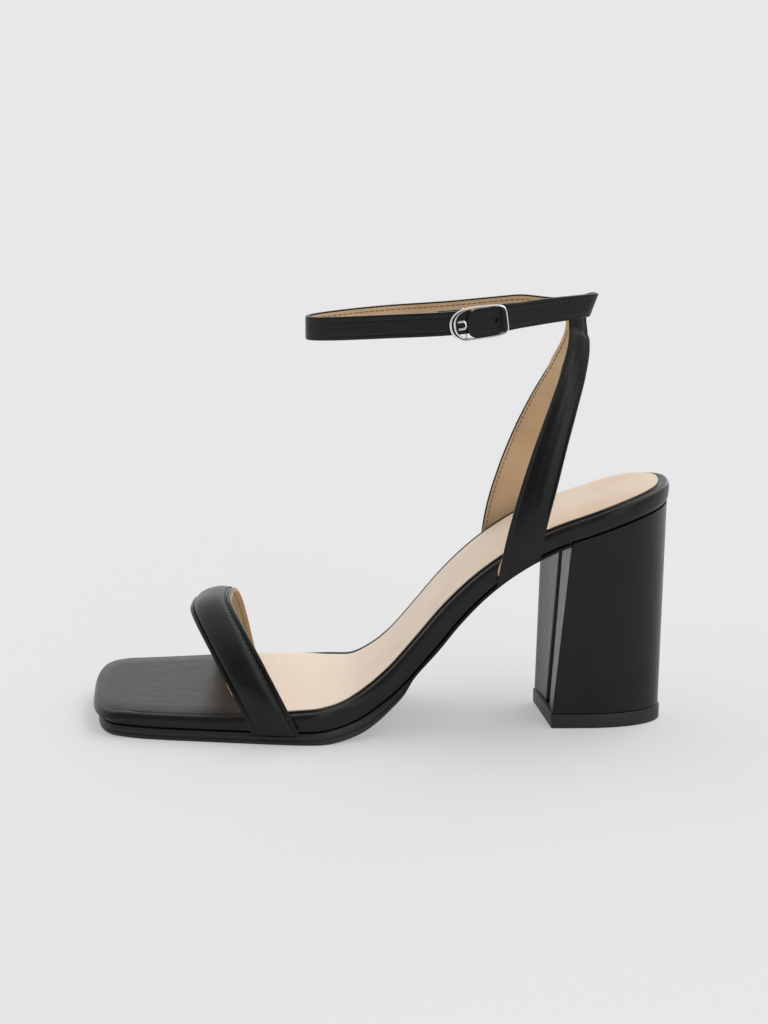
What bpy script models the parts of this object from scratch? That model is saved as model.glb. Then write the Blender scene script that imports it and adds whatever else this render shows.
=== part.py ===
"""A left block-heel sandal with a toe strap and a buckled ankle strap.

The toe points to -X, the outer side of the foot to -Y, and the floor is z = 0.
Sizes and tables are in millimetres from the shoe's own axis; the meshes are made in metres,
from the middle of the shoe's box on the floor.
"""

from collections import namedtuple
from math import atan, cos, pi, radians, sin

import bmesh
import bpy
import numpy as np

MM = 0.001
CLEAR = 0.3
ORIGIN_X = -3.1
ORIGIN_Y = 3.1
SHARP_ANGLE = 40.0

# The sole along its length: the feather line is the seam between footbed and outsole
Station = namedtuple("Station", "x feather lateral medial footbed outsole")
SOLE = (
    Station(-116.0, 6.0, 27.5, 35.5, 7.8, 4.2),
    Station(-104.0, 5.0, 29.5, 38.0, 8.0, 4.4),
    Station(-92.0, 4.5, 31.8, 40.8, 8.2, 4.8),
    Station(-70.0, 4.4, 35.3, 43.8, 8.4, 4.8),
    Station(-50.0, 4.5, 38.5, 45.2, 8.6, 4.8),
    Station(-32.0, 4.7, 40.0, 44.8, 8.8, 5.0),
    Station(-22.0, 5.2, 38.8, 41.3, 9.0, 5.3),
    Station(-10.0, 8.0, 34.0, 33.8, 9.1, 5.2),
    Station(1.0, 14.9, 30.5, 30.0, 9.0, 3.8),
    Station(7.0, 20.1, 29.5, 29.0, 9.0, 2.6),
    Station(9.5, 22.6, 29.2, 28.8, 9.0, 1.4),
    Station(20.0, 35.0, 29.0, 28.6, 9.0, 1.3),
    Station(28.5, 45.6, 29.0, 28.6, 8.8, 1.2),
    Station(38.5, 56.2, 29.3, 28.8, 8.4, 1.2),
    Station(50.0, 65.4, 29.6, 29.1, 8.1, 1.2),
    Station(65.0, 73.8, 29.6, 29.1, 8.1, 1.2),
    Station(80.0, 79.2, 29.4, 28.9, 8.3, 1.2),
    Station(95.0, 84.2, 29.0, 28.5, 8.6, 1.2),
    Station(112.0, 88.6, 28.5, 28.0, 8.8, 1.2),
)

# Ends of the sole: the inner corner of the square toe and of the breast lie further forward
TOE_X = -114.6
TOE_ROUND = 13.0
TOE_SQUARENESS = 3.2
TOE_SKEW = 0.09
TOE_SKEW_FADE = 45.0
SEAT_X = 110.2
SEAT_ROUND = 30.0
SEAT_SQUARENESS = 2.2
SEAT_UPRIGHT_FROM_X = 66.0
SEAT_UPRIGHT = 0.8
END_STEPS = 8
MID_STEP = 6.5

# Section of the sole's edge: inset from the outline, share of the layer's thickness, rise,
# share of the recess for the sock, and how much of the width the ring keeps
Edge = namedtuple("Edge", "inset share rise recess spread")
FOOTBED_EDGE = (
    Edge(1.4, 0.0, CLEAR, 0.0, 1.0),
    Edge(0.3, 0.0, 1.2, 0.0, 1.0),
    Edge(0.0, 0.0, 2.6, 0.0, 1.0),
    Edge(0.2, 1.0, -2.9, 0.0, 1.0),
    Edge(0.9, 1.0, -1.3, 0.0, 1.0),
    Edge(2.0, 1.0, -0.3, 0.0, 1.0),
    Edge(3.1, 1.0, 0.0, 0.0, 1.0),
    Edge(3.3, 1.0, 0.0, 1.0, 1.0),
)
OUTSOLE_EDGE = (
    Edge(1.8, 0.0, 0.0, 0.0, 1.0),
    Edge(0.7, -0.04, 0.0, 0.0, 1.0),
    Edge(0.6, -0.28, 0.0, 0.0, 1.0),
    Edge(1.2, -0.37, 0.0, 0.0, 1.0),
    Edge(0.5, -0.46, 0.0, 0.0, 1.0),
    Edge(0.6, -0.82, 0.0, 0.0, 1.0),
    Edge(1.4, -1.0, 0.0, 0.0, 1.0),
)
SOCK_FRONT_X = -50.0
SOCK_SKEW = 0.16
SOCK_SKEW_FADE = 40.0
SOCK_RECESS = 1.2
SOCK_RAMP = 2.0
SOCK_EDGE = (
    Edge(3.7, 1.0, CLEAR, 1.0, 1.0),
    Edge(3.6, 1.0, CLEAR + 0.2, 1.0, 1.0),
    Edge(3.6, 1.0, SOCK_RECESS - 0.2, 1.0, 1.0),
    Edge(3.9, 1.0, SOCK_RECESS, 1.0, 1.0),
    Edge(3.9, 1.0, SOCK_RECESS + 0.3, 1.0, 0.55),
)

# Block heel and its wear piece
BREAST_TOP_X = 67.0
BREAST_FOOT_X = 62.8
BREAST_SKEW = 0.137
HEEL_TOP_INSET = 1.0
HEEL_FOOT_BACK_X = 108.0
HEEL_FOOT_WIDTH = 0.61
HEEL_LEVELS = 6
HEEL_FOOT_Z = 6.0
LIFT_PROUD = 0.45
LIFT_BEVEL = 0.5
BREAST_SEAM_Y = -0.26
BREAST_SEAM_WIDTH = 0.032
BREAST_SEAM_DEPTH = 1.3

# Section of a strap: share of the way across from its front edge, and height above its inner face
Across = namedtuple("Across", "share height")
PADDED = (
    Across(0.0, 0.0),
    Across(0.0, 0.9),
    Across(0.02, 1.2),
    Across(0.13, 1.3),
    Across(0.20, 2.0),
    Across(0.34, 2.8),
    Across(0.50, 3.1),
    Across(0.66, 2.8),
    Across(0.80, 2.0),
    Across(0.87, 1.3),
    Across(0.98, 1.2),
    Across(1.0, 0.9),
    Across(1.0, 0.0),
    Across(0.5, 0.0),
)
FLAT = (
    Across(0.0, 0.0),
    Across(0.0, 1.3),
    Across(0.04, 1.6),
    Across(0.20, 1.8),
    Across(0.50, 2.0),
    Across(0.80, 1.8),
    Across(0.96, 1.6),
    Across(1.0, 1.3),
    Across(1.0, 0.0),
    Across(0.5, 0.0),
)
FLAT_THICK = max(spot.height for spot in FLAT)

# Toe strap: where its two edges leave the sole and where they peak
StrapEdge = namedtuple("StrapEdge", "lateral_x peak_x peak_z medial_x")
TOE_FRONT = StrapEdge(-50.0, -75.4, 44.0, -63.5)
TOE_REAR = StrapEdge(-32.0, -59.6, 48.0, -49.5)
TOE_LEAN = {"lateral": 1.05, "medial": 0.52}
TOE_SQUARENESS_OF_ARCH = {"lateral": 2.14, "medial": 2.5}
TOE_INWARD = 0.3
TOE_CREST = 0.08
TOE_STAND_OFF = 0.75
TOE_PEAK_Y = -0.8
TOE_STEPS = 26

# Straps thin out where they are lasted under the footbed
STRAP_END_FULLNESS = 0.45
STRAP_END_STEPS = 4

# Heel straps: the outer face at the front and rear edges of the outer strap, from the sole up
HeelRow = namedtuple("HeelRow", "front_x front_y front_z rear_x rear_y rear_z forward")
HEEL_BASE_FRONT_X = 42.6
HEEL_BASE_REAR_X = 58.9
HEEL_BASE_FORWARD = 5.0
HEEL_STRAP = (
    HeelRow(46.0, 32.2, 79.0, 61.6, 32.0, 85.5, 4.8),
    HeelRow(50.2, 30.9, 95.0, 65.0, 30.4, 99.0, 4.4),
    HeelRow(55.4, 27.6, 111.0, 68.6, 26.8, 113.0, 3.8),
    HeelRow(61.3, 22.2, 126.0, 72.7, 20.6, 126.5, 3.0),
    HeelRow(66.8, 15.6, 139.5, 76.6, 12.6, 139.0, 1.6),
    HeelRow(70.2, 10.2, 149.5, 78.4, 5.4, 148.5, 0.4),
)
HEEL_TAB_FRONT_X = 71.0
HEEL_TAB_REAR_X = 75.2
HEEL_TAB_REAR_Y = 0.4
HEEL_TAB_Z = (157.5, 163.5)
HEEL_STEPS = 20

# Ankle strap: a flat loop round the ankle, seen from above, and its rise towards the back
ANKLE_MID_X = 25.0
ANKLE_HALF_LENGTH = 54.0
ANKLE_HALF_WIDTH = 15.5
ANKLE_FRONT_POWER = 0.95
ANKLE_BACK_POWER = 1.35
ANKLE_THICK = 1.9
ANKLE_TALL = 8.9
EndTall = namedtuple("EndTall", "x tall")
FREE_END_TALL = (
    EndTall(31.0, 10.2),
    EndTall(41.0, 10.2),
    EndTall(45.0, 9.6),
    EndTall(60.0, 9.6),
    EndTall(79.0, 8.9),
)
Rise = namedtuple("Rise", "x z")
ANKLE_RISE = (
    Rise(-32.0, 154.0),
    Rise(0.0, 156.4),
    Rise(25.0, 157.9),
    Rise(47.0, 160.2),
    Rise(62.0, 162.0),
    Rise(82.0, 163.2),
)
ANKLE_BACK_LEAN = 0.38
ANKLE_LEAN_FROM_X = 58.0
ANKLE_LEAN_RUN = 22.0
ANKLE_STEPS = 34
BAND = (
    Across(0.0, 0.25),
    Across(0.0, 1.65),
    Across(0.05, 1.9),
    Across(0.95, 1.9),
    Across(1.0, 1.65),
    Across(1.0, 0.25),
    Across(0.95, 0.0),
    Across(0.05, 0.0),
)

# Buckle on the outer side: frame, bar inside the strap's fold, and prong
BUCKLE_LEFT_X = 24.4
BUCKLE_RIGHT_X = 46.4
BUCKLE_HALF_TALL = 6.7
BUCKLE_ROUND_END = 2.3
BUCKLE_SQUARE_END = 5.0
BUCKLE_SLOPE = 0.11
BUCKLE_TAPER = 0.07
BUCKLE_RAIL = 0.36
BUCKLE_END_RAIL = 1.25
BUCKLE_DEPTH = 0.8
BUCKLE_OFFSET = 2.6
BUCKLE_DROP = 0.6
BUCKLE_STEPS = 44
WIRE_SIDES = 8
BAR_X = 30.2
BAR_RADIUS = 0.5
BAR_ARM = 5.75
BAR_ARM_DEPTH = 0.7
BAR_BEND_HEIGHT = 0.93
FOLD_LENGTH = 10.0
FOLD_STEPS = 5
TIP_X = 31.6
TIP_STEP = 2.0
TIP_ROUND_STEPS = 2
TIP_TAPER = 0.45
TIP_LIFT_FROM_X = 47.0
TIP_LIFT_TO_X = 38.0
PRONG_LENGTH = 4.0
PRONG_HALF_WIDTH = 1.35
PRONG_RADIUS = 0.5
PRONG_STEPS = 8

BLACK_LEATHER = ("black leather", (0.020, 0.020, 0.021, 1.0), 0.42, 0.0)
BLACK_RUBBER = ("black sole rubber", (0.016, 0.016, 0.017, 1.0), 0.55, 0.0)
BEIGE_LINING = ("beige lining", (0.78, 0.62, 0.49, 1.0), 0.60, 0.0)
PLATED_METAL = ("plated metal", (0.80, 0.79, 0.77, 1.0), 0.16, 1.0)


def clear_scene():
    for old in list(bpy.data.objects):
        bpy.data.objects.remove(old, do_unlink=True)


def make_material(name, colour, roughness, metallic):
    material = bpy.data.materials.get(name) or bpy.data.materials.new(name)
    material.use_nodes = True
    shader = material.node_tree.nodes["Principled BSDF"]
    shader.inputs["Base Color"].default_value = colour
    shader.inputs["Roughness"].default_value = roughness
    shader.inputs["Metallic"].default_value = metallic
    return material


def add_object(name, points, faces, finish):
    """One closed mesh from points in millimetres, facing outwards."""
    mesh = bpy.data.meshes.new(name)
    placed = [((p[0] - ORIGIN_X) * MM, (p[1] - ORIGIN_Y) * MM, p[2] * MM) for p in points]
    mesh.from_pydata(placed, [], faces)
    shape = bmesh.new()
    shape.from_mesh(mesh)
    bmesh.ops.recalc_face_normals(shape, faces=shape.faces)
    bmesh.ops.triangulate(shape, faces=[f for f in shape.faces if len(f.verts) > 3])
    shape.to_mesh(mesh)
    shape.free()
    mesh.shade_smooth()
    mesh.set_sharp_from_angle(angle=radians(SHARP_ANGLE))
    mesh.materials.append(make_material(*finish))
    thing = bpy.data.objects.new(name, mesh)
    bpy.context.scene.collection.objects.link(thing)
    return thing


def smooth(rows, column, at):
    """A column of a table read at `at` through a cubic that doesn't overshoot its rows."""
    xs = np.array([getattr(row, rows[0]._fields[0]) for row in rows])
    ys = np.array([getattr(row, column) for row in rows])
    steps = np.diff(ys) / np.diff(xs)
    slopes = np.concatenate(([steps[0]], (steps[1:] + steps[:-1]) / 2, [steps[-1]]))
    flat = np.concatenate(([False], steps[1:] * steps[:-1] <= 0, [False]))
    slopes[flat] = 0.0
    at = min(max(at, xs[0]), xs[-1])
    i = min(int(np.searchsorted(xs, at, side="right")) - 1, len(xs) - 2)
    width = xs[i + 1] - xs[i]
    t = (at - xs[i]) / width
    return float(
        (2 * t**3 - 3 * t**2 + 1) * ys[i]
        + (t**3 - 2 * t**2 + t) * width * slopes[i]
        + (3 * t**2 - 2 * t**3) * ys[i + 1]
        + (t**3 - t**2) * width * slopes[i + 1]
    )


def feather_slope(x):
    reach = 0.5
    rise = smooth(SOLE, "feather", x + reach) - smooth(SOLE, "feather", x - reach)
    return atan(rise / (2 * reach))


def ease(value, start, stop):
    """0 before start, 1 after stop, and a soft step between."""
    share = min(max((value - start) / (stop - start), 0.0), 1.0)
    return share * share * (3 - 2 * share)


def sole_point(x, y, height):
    """A point `height` above the feather line, square to it, but upright round the heel seat."""
    slope = feather_slope(x) * (1 - SEAT_UPRIGHT * ease(x, SEAT_UPRIGHT_FROM_X, SEAT_X))
    z = smooth(SOLE, "feather", x)
    return np.array((x - height * sin(slope), y, max(z + height * cos(slope), 0.0)))


def end_curve(squareness, steps):
    """Places round one end, from its middle to its side: share of the width, share of the length."""
    places = []
    for step in range(1, steps + 1):
        angle = 0.5 * pi * step / steps
        places.append((sin(angle) ** (2 / squareness), 1 - cos(angle) ** (2 / squareness)))
    return places


def stations(front=None, back=None):
    """Places along the sole, from toe to heel, that every ring of a layer shares.

    Each is (x, share of the width, end), where the end is -1 round the toe and 1 round the seat.
    `front` or `back` cuts the sole straight across there instead.
    """
    places = []
    if front is None:
        start = TOE_X + TOE_ROUND
        for across, along in end_curve(TOE_SQUARENESS, END_STEPS):
            places.append((along, across, -1))
        ramp = SOCK_FRONT_X - SOCK_RAMP
        for x in even_steps(start, ramp)[1:]:
            places.append((x, 1.0, 0))
        start = SOCK_FRONT_X
    else:
        start = front
    stop = SEAT_X - SEAT_ROUND if back is None else back
    for x in even_steps(start, stop):
        places.append((x, 1.0, 0))
    if back is None:
        for across, along in reversed(end_curve(SEAT_SQUARENESS, END_STEPS)[:-1]):
            places.append((along, across, 1))
    return places


def even_steps(start, stop):
    return np.linspace(start, stop, 1 + max(1, round((stop - start) / MID_STEP)))


def forward_turn(x, breast=None):
    """How far the inner side lies ahead of the outer side, for each millimetre between them."""
    toe = TOE_SKEW * max(0.0, 1 - abs(x - TOE_X) / TOE_SKEW_FADE)
    strap = SOCK_SKEW * (1 - ease(abs(x - SOCK_FRONT_X), 0.0, SOCK_SKEW_FADE))
    cut = BREAST_SKEW * ease(x, breast - SOCK_SKEW_FADE, breast) if breast else 0.0
    return toe + strap + cut


def side_reach(x, side):
    """How far the sole reaches to one side of its axis at a true place along it."""
    turned_x = x
    for _ in range(4):
        reach = smooth(SOLE, side, turned_x)
        turned_x = x + forward_turn(turned_x) * (reach if side == "medial" else -reach)
    return reach


def sole_ring(edge, column, front=None, back=None):
    """One closed ring of a sole layer: down the outer side and back up the inner side."""
    sides = {"lateral": [], "medial": []}
    for place, across, end in stations(front, back):
        if end < 0:
            x = TOE_X + edge.inset + (TOE_ROUND - edge.inset) * place
        elif end > 0:
            x = SEAT_X - edge.inset - (SEAT_ROUND - edge.inset) * place
        else:
            x = place
        recess = SOCK_RECESS * ease(x, SOCK_FRONT_X - SOCK_RAMP, SOCK_FRONT_X)
        height = edge.share * smooth(SOLE, column, x) + edge.rise - edge.recess * recess
        for side, points in sides.items():
            reach = across * (smooth(SOLE, side, x) - edge.inset)
            y = reach if side == "medial" else -reach
            points.append(sole_point(x - forward_turn(x, back) * y, y * edge.spread, height))
    return sides["lateral"] + sides["medial"][::-1]


def sheet_faces(rings):
    """Quads between rings of equal length, with ladders of quads across the first and last."""
    size = len(rings[0])
    half = size // 2
    faces = []
    for level in range(len(rings) - 1):
        for i in range(size):
            j = (i + 1) % size
            low, high = level * size, (level + 1) * size
            faces.append((low + i, low + j, high + j, high + i))
    for base in (0, (len(rings) - 1) * size):
        for i in range(half - 1):
            faces.append((base + i, base + i + 1, base + size - 2 - i, base + size - 1 - i))
    return faces


def sole_layer(name, edges, column, finish, front=None, back=None):
    rings = [sole_ring(edge, column, front, back) for edge in edges]
    return add_object(name, [p for ring in rings for p in ring], sheet_faces(rings), finish)


def heel_ring(level, proud=0.0):
    """The heel's outline at a level, 0 at the seat and 1 at the foot, as (x, y) places."""
    seat = sole_ring(Edge(HEEL_TOP_INSET, 0.0, 0.0, 0.0, 1.0), "footbed", front=BREAST_TOP_X)
    breast = BREAST_TOP_X + (BREAST_FOOT_X - BREAST_TOP_X) * level - proud
    back_top = SEAT_X - HEEL_TOP_INSET
    back = back_top + (HEEL_FOOT_BACK_X - back_top) * level + proud
    narrow = 1 + (HEEL_FOOT_WIDTH - 1) * level
    ring = []
    for x, y, _ in seat:
        along = (x - BREAST_TOP_X) / (back_top - BREAST_TOP_X)
        y_here = y * narrow + proud * np.sign(y)
        skew = BREAST_SKEW * (1 - along) ** 2
        ring.append((breast + (back - breast) * along - skew * y_here, y_here))
    return ring


def breast_seam(ring):
    """The seam of the cover: a narrow groove between the ring's two breast corners."""
    outer, inner = np.array(ring[0]), np.array(ring[-1])
    middle = 0.5 + 0.5 * BREAST_SEAM_Y
    groove = []
    for offset, depth in ((BREAST_SEAM_WIDTH, 0.0), (0.0, BREAST_SEAM_DEPTH), (-BREAST_SEAM_WIDTH, 0.0)):
        place = outer + (inner - outer) * (middle + offset)
        groove.append((place[0] + depth, place[1]))
    return ring + groove


def build_heel():
    rings = []
    for level in range(HEEL_LEVELS + 1):
        share = level / HEEL_LEVELS
        ring = []
        for x, y in breast_seam(heel_ring(share)):
            seat = heel_seat(x, y, share)
            ring.append((x, y, seat + (HEEL_FOOT_Z - seat) * share))
        rings.append(ring)
    size = len(rings[0])
    faces = []
    for level in range(HEEL_LEVELS):
        for i in range(size):
            j = (i + 1) % size
            low, high = level * size, (level + 1) * size
            faces.append((low + i, low + j, high + j, high + i))
    outline_size = size - 3
    half = outline_size // 2
    for i in range(half - 1):
        rungs = (i, i + 1, outline_size - 2 - i, outline_size - 1 - i)
        faces.append(rungs + tuple(range(outline_size, size)) if i == 0 else rungs)
    faces.append(tuple(range(HEEL_LEVELS * size, (HEEL_LEVELS + 1) * size)))
    return add_object("heel_block", [p for ring in rings for p in ring], faces, BLACK_LEATHER)


def heel_seat(x, y, share):
    """Height of the seat above a place on the heel's side at a share of its height."""
    breast = BREAST_TOP_X + (BREAST_FOOT_X - BREAST_TOP_X) * share
    back_top = SEAT_X - HEEL_TOP_INSET
    back = back_top + (HEEL_FOOT_BACK_X - back_top) * share
    x_top = BREAST_TOP_X + (x - breast) / (back - breast) * (back_top - BREAST_TOP_X)
    return smooth(SOLE, "feather", x_top)


def build_top_lift():
    levels = ((LIFT_PROUD - LIFT_BEVEL, 0.0), (LIFT_PROUD, LIFT_BEVEL), (LIFT_PROUD, HEEL_FOOT_Z - CLEAR))
    rings = [[(x, y, z) for x, y in heel_ring(1.0, proud)] for proud, z in levels]
    return add_object("top_lift", [p for ring in rings for p in ring], sheet_faces(rings), BLACK_RUBBER)


def end_fullness(steps_from_end):
    """The share of a strap's thickness that is left near its lasted end."""
    return STRAP_END_FULLNESS + (1 - STRAP_END_FULLNESS) * ease(steps_from_end, 0, STRAP_END_STEPS)


def band(sections, profile):
    """Points and faces of a strap from its edges: sections are (front edge, rear edge, outward)."""
    points = []
    for front, rear, outward in sections:
        for spot in profile:
            points.append(front + (rear - front) * spot.share + outward * spot.height)
    size = len(profile)
    faces = []
    for row in range(len(sections) - 1):
        for i in range(size):
            j = (i + 1) % size
            low, high = row * size, (row + 1) * size
            faces.append((low + i, low + j, high + j, high + i))
    faces.append(tuple(range(size)))
    faces.append(tuple(range((len(sections) - 1) * size, len(sections) * size)))
    return points, faces


def outward_sections(fronts, rears):
    """Adds to each pair of edge points the direction square to the strap's face."""
    middle = (np.array(fronts) + np.array(rears)) / 2
    along = np.gradient(middle, axis=0)
    sections = []
    for front, rear, way in zip(fronts, rears, along):
        outward = np.cross(rear - front, way)
        sections.append((front, rear, outward / np.linalg.norm(outward)))
    return sections


def crest(run):
    """A straight run from 0 at the sole to 1 at the peak, with a soft turn there."""
    soft = (1 + TOE_CREST**2) ** 0.5 - TOE_CREST
    return 1 - (((1 - run) ** 2 + TOE_CREST**2) ** 0.5 - TOE_CREST) / soft


def toe_edge(edge):
    """One edge of the toe strap's inner face, from the outer side over the toes to the inner side.

    It runs forward evenly as it goes up and in over the foot.
    """
    points = []
    for step in range(TOE_STEPS + 1):
        angle = pi * step / TOE_STEPS
        medial_side = step > TOE_STEPS / 2
        base_x = edge.medial_x if medial_side else edge.lateral_x
        column = "medial" if medial_side else "lateral"
        reach = side_reach(base_x, column) + TOE_STAND_OFF
        base_y = reach if medial_side else -reach
        base_z = smooth(SOLE, "feather", base_x) + CLEAR
        out = abs(cos(angle)) ** (2 / TOE_SQUARENESS_OF_ARCH[column])
        up = abs(sin(angle)) ** (2 / TOE_SQUARENESS_OF_ARCH[column])
        forward = crest((1 - TOE_INWARD) * up + TOE_INWARD * (1 - out))
        points.append(np.array((
            base_x + (edge.peak_x - base_x) * forward ** TOE_LEAN[column],
            TOE_PEAK_Y + (base_y - TOE_PEAK_Y) * out,
            base_z + (edge.peak_z - base_z) * up,
        )))
    return points


def build_toe_strap():
    sections = []
    fronts, rears = toe_edge(TOE_FRONT), toe_edge(TOE_REAR)
    for step, (front, rear, outward) in enumerate(outward_sections(fronts, rears)):
        sections.append((front, rear, outward * end_fullness(min(step, TOE_STEPS - step))))
    points, faces = band(sections, PADDED)
    return add_object("toe_strap", points, faces, BLACK_LEATHER)


def ankle_half(x):
    """Half the width of the ankle loop's middle line at a place along it."""
    along = (x - ANKLE_MID_X) / ANKLE_HALF_LENGTH
    share = 0.5 + 0.5 * along
    power = ANKLE_FRONT_POWER + (ANKLE_BACK_POWER - ANKLE_FRONT_POWER) * share
    return ANKLE_HALF_WIDTH * max(1 - along**2, 0.0) ** (power / 2)


def curve_through(points, steps):
    """Even steps along a smooth curve through a few points."""
    points = np.array(points)
    reach = np.concatenate(([0.0], np.cumsum(np.linalg.norm(np.diff(points, axis=0), axis=1))))
    Row = namedtuple("Row", "t value")
    columns = []
    for axis in range(3):
        rows = [Row(t, v) for t, v in zip(reach, points[:, axis])]
        columns.append([smooth(rows, "value", reach[-1] * step / steps) for step in range(steps + 1)])
    return [np.array(point) for point in zip(*columns)]


def heel_strap_edge(side, mirror):
    """One edge of a heel strap's outer face, from the sole to the top of the tab."""
    forward = HEEL_BASE_FORWARD if mirror > 0 else 0.0
    base_x = (HEEL_BASE_FRONT_X if side == "front" else HEEL_BASE_REAR_X) - forward
    column = "medial" if mirror > 0 else "lateral"
    base_y = side_reach(base_x, column) + CLEAR + STRAP_END_FULLNESS * FLAT_THICK
    base_z = smooth(SOLE, "feather", base_x)
    points = [(base_x, mirror * base_y, base_z)]
    for row in HEEL_STRAP:
        shift = row.forward if mirror > 0 else 0.0
        x, y, z = (getattr(row, f"{side}_{axis}") for axis in "xyz")
        points.append((x - shift, mirror * y, z))
    tab_x = HEEL_TAB_FRONT_X if side == "front" else HEEL_TAB_REAR_X
    inside = ankle_half(tab_x) - ANKLE_THICK / 2 - CLEAR
    tab_y = inside if side == "front" else HEEL_TAB_REAR_Y
    for z in HEEL_TAB_Z:
        points.append((tab_x, mirror * tab_y, z))
    return curve_through(points, HEEL_STEPS)


def heel_strap(name, mirror):
    """One heel strap; the table gives its outer face, so its thickness goes inwards."""
    sections = []
    fronts, rears = heel_strap_edge("front", mirror), heel_strap_edge("rear", mirror)
    for step, (front, rear, outward) in enumerate(outward_sections(fronts, rears)):
        outward = outward * -mirror * end_fullness(step)
        sections.append((front - outward * FLAT_THICK, rear - outward * FLAT_THICK, outward))
    points, faces = band(sections, FLAT)
    return add_object(name, points, faces, BLACK_LEATHER)


def join(base, extra):
    """Unites a second object into the first and removes it."""
    union = base.modifiers.new("union", "BOOLEAN")
    union.operation = "UNION"
    union.object = extra
    graph = bpy.context.evaluated_depsgraph_get()
    mesh = bpy.data.meshes.new_from_object(base.evaluated_get(graph))
    base.modifiers.remove(union)
    base.data = mesh
    bpy.data.objects.remove(extra, do_unlink=True)
    return base


def build_heel_straps():
    return join(heel_strap("heel_straps", -1.0), heel_strap("inner_heel_strap", 1.0))


def loop_places():
    """The ankle loop's middle line from above, from the buckle forwards, round and back."""
    start = np.arccos((ANKLE_MID_X - BAR_X) / ANKLE_HALF_LENGTH)
    places = []
    for step in range(1, 2 * ANKLE_STEPS):
        turn = start - 2 * pi * step / (2 * ANKLE_STEPS)
        x = ANKLE_MID_X - ANKLE_HALF_LENGTH * cos(turn)
        side = -1.0 if sin(turn) > 0 else 1.0
        places.append((x, side * ankle_half(x)))
    return places


def fold_places():
    """The strap's end folded round the bar: the inner layer, then half a turn."""
    radius = BAR_RADIUS + CLEAR + ANKLE_THICK / 2
    places = []
    for x in np.linspace(BAR_X - FOLD_LENGTH, BAR_X, FOLD_STEPS):
        places.append((x, -ankle_half(x) + 2 * radius))
    for step in range(1, FOLD_STEPS + 1):
        angle = pi * step / (FOLD_STEPS + 1)
        y = -ankle_half(BAR_X) + radius + radius * cos(angle)
        places.append((BAR_X + radius * sin(angle), y))
    places.append((BAR_X, -ankle_half(BAR_X)))
    return places


def tip_places(last_x):
    """The strap's free end: lifted over the fold inside the buckle, up to its tip."""
    lift = ANKLE_THICK + CLEAR
    places = []
    for x in np.arange(last_x, TIP_X, -TIP_STEP):
        places.append((x, -ankle_half(x) - lift * ease(-x, -TIP_LIFT_FROM_X, -TIP_LIFT_TO_X)))
    places.append((TIP_X, -ankle_half(TIP_X) - lift))
    return places


def build_ankle_strap():
    loop = loop_places()
    keep = [p for p in loop if not (p[1] < 0 and BAR_X - BAR_RADIUS < p[0] < TIP_LIFT_FROM_X)]
    fold = fold_places()
    places = fold + keep + tip_places(TIP_LIFT_FROM_X)
    fronts, rears = [], []
    for index, (x, y) in enumerate(places):
        tip = max(0.0, 1 - (len(places) - 1 - index) / TIP_ROUND_STEPS)
        free_end = index >= len(fold) and y < 0 and x > BAR_X
        tall = smooth(FREE_END_TALL, "tall", x) if free_end else ANKLE_TALL
        half = tall / 2 * (1 - TIP_TAPER * tip)
        lean = ANKLE_BACK_LEAN * min(max((x - ANKLE_LEAN_FROM_X) / ANKLE_LEAN_RUN, 0.0), 1.0)
        middle = smooth(ANKLE_RISE, "z", x)
        fronts.append(np.array((x - lean * half, y, middle - half)))
        rears.append(np.array((x + lean * half, y, middle + half)))
    sections = []
    for front, rear, outward in outward_sections(fronts, rears):
        shift = outward * ANKLE_THICK / 2
        sections.append((front - shift, rear - shift, outward))
    points, faces = band(sections, BAND)
    return add_object("ankle_strap", points, faces, BLACK_LEATHER)


def buckle_place(x, height, depth):
    """A place on the buckle: along the strap, across it, and out from the frame's middle plane."""
    middle = smooth(ANKLE_RISE, "z", BAR_X) - BUCKLE_DROP + BUCKLE_SLOPE * (x - BAR_X)
    plane = -ankle_half(BAR_X) - BUCKLE_OFFSET
    return np.array((x - BUCKLE_SLOPE * height, plane - depth, middle + height))


def frame_line(step):
    """The frame's outer line: a half round left end, rails that close in and a right end with corners."""
    angle = 2 * pi * step / BUCKLE_STEPS
    half_long = (BUCKLE_RIGHT_X - BUCKLE_LEFT_X) / 2
    left = cos(angle) < 0
    squareness = BUCKLE_ROUND_END if left else BUCKLE_SQUARE_END
    x = abs(cos(angle)) ** (2 / squareness) * half_long * (-1 if left else 1)
    half_tall = BUCKLE_HALF_TALL * (1 - BUCKLE_TAPER * (0.5 + 0.5 * x / half_long))
    height = abs(sin(angle)) ** (2 / squareness) * half_tall * (1 if sin(angle) >= 0 else -1)
    return (BUCKLE_LEFT_X + BUCKLE_RIGHT_X) / 2 + x, height, max(0.0, -cos(angle))


def build_buckle_frame():
    line = [frame_line(step) for step in range(BUCKLE_STEPS)]
    flat = np.array([(x, height) for x, height, _ in line])
    points = []
    for index, (x, height, endness) in enumerate(line):
        along = flat[(index + 1) % BUCKLE_STEPS] - flat[index - 1]
        out = np.array((along[1], -along[0])) / np.linalg.norm(along)
        rail = BUCKLE_RAIL + (BUCKLE_END_RAIL - BUCKLE_RAIL) * endness**2
        for side in range(WIRE_SIDES):
            angle = 2 * pi * (side + 0.5) / WIRE_SIDES
            spot = np.array((x, height)) + out * rail * (cos(angle) - 1)
            points.append(buckle_place(spot[0], spot[1], BUCKLE_DEPTH * sin(angle)))
    faces = []
    for index in range(BUCKLE_STEPS):
        low, high = index * WIRE_SIDES, (index + 1) % BUCKLE_STEPS * WIRE_SIDES
        for i in range(WIRE_SIDES):
            j = (i + 1) % WIRE_SIDES
            faces.append((low + i, low + j, high + j, high + i))
    frame = add_object("buckle_frame", points, faces, PLATED_METAL)
    return join(frame, build_bar())


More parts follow.
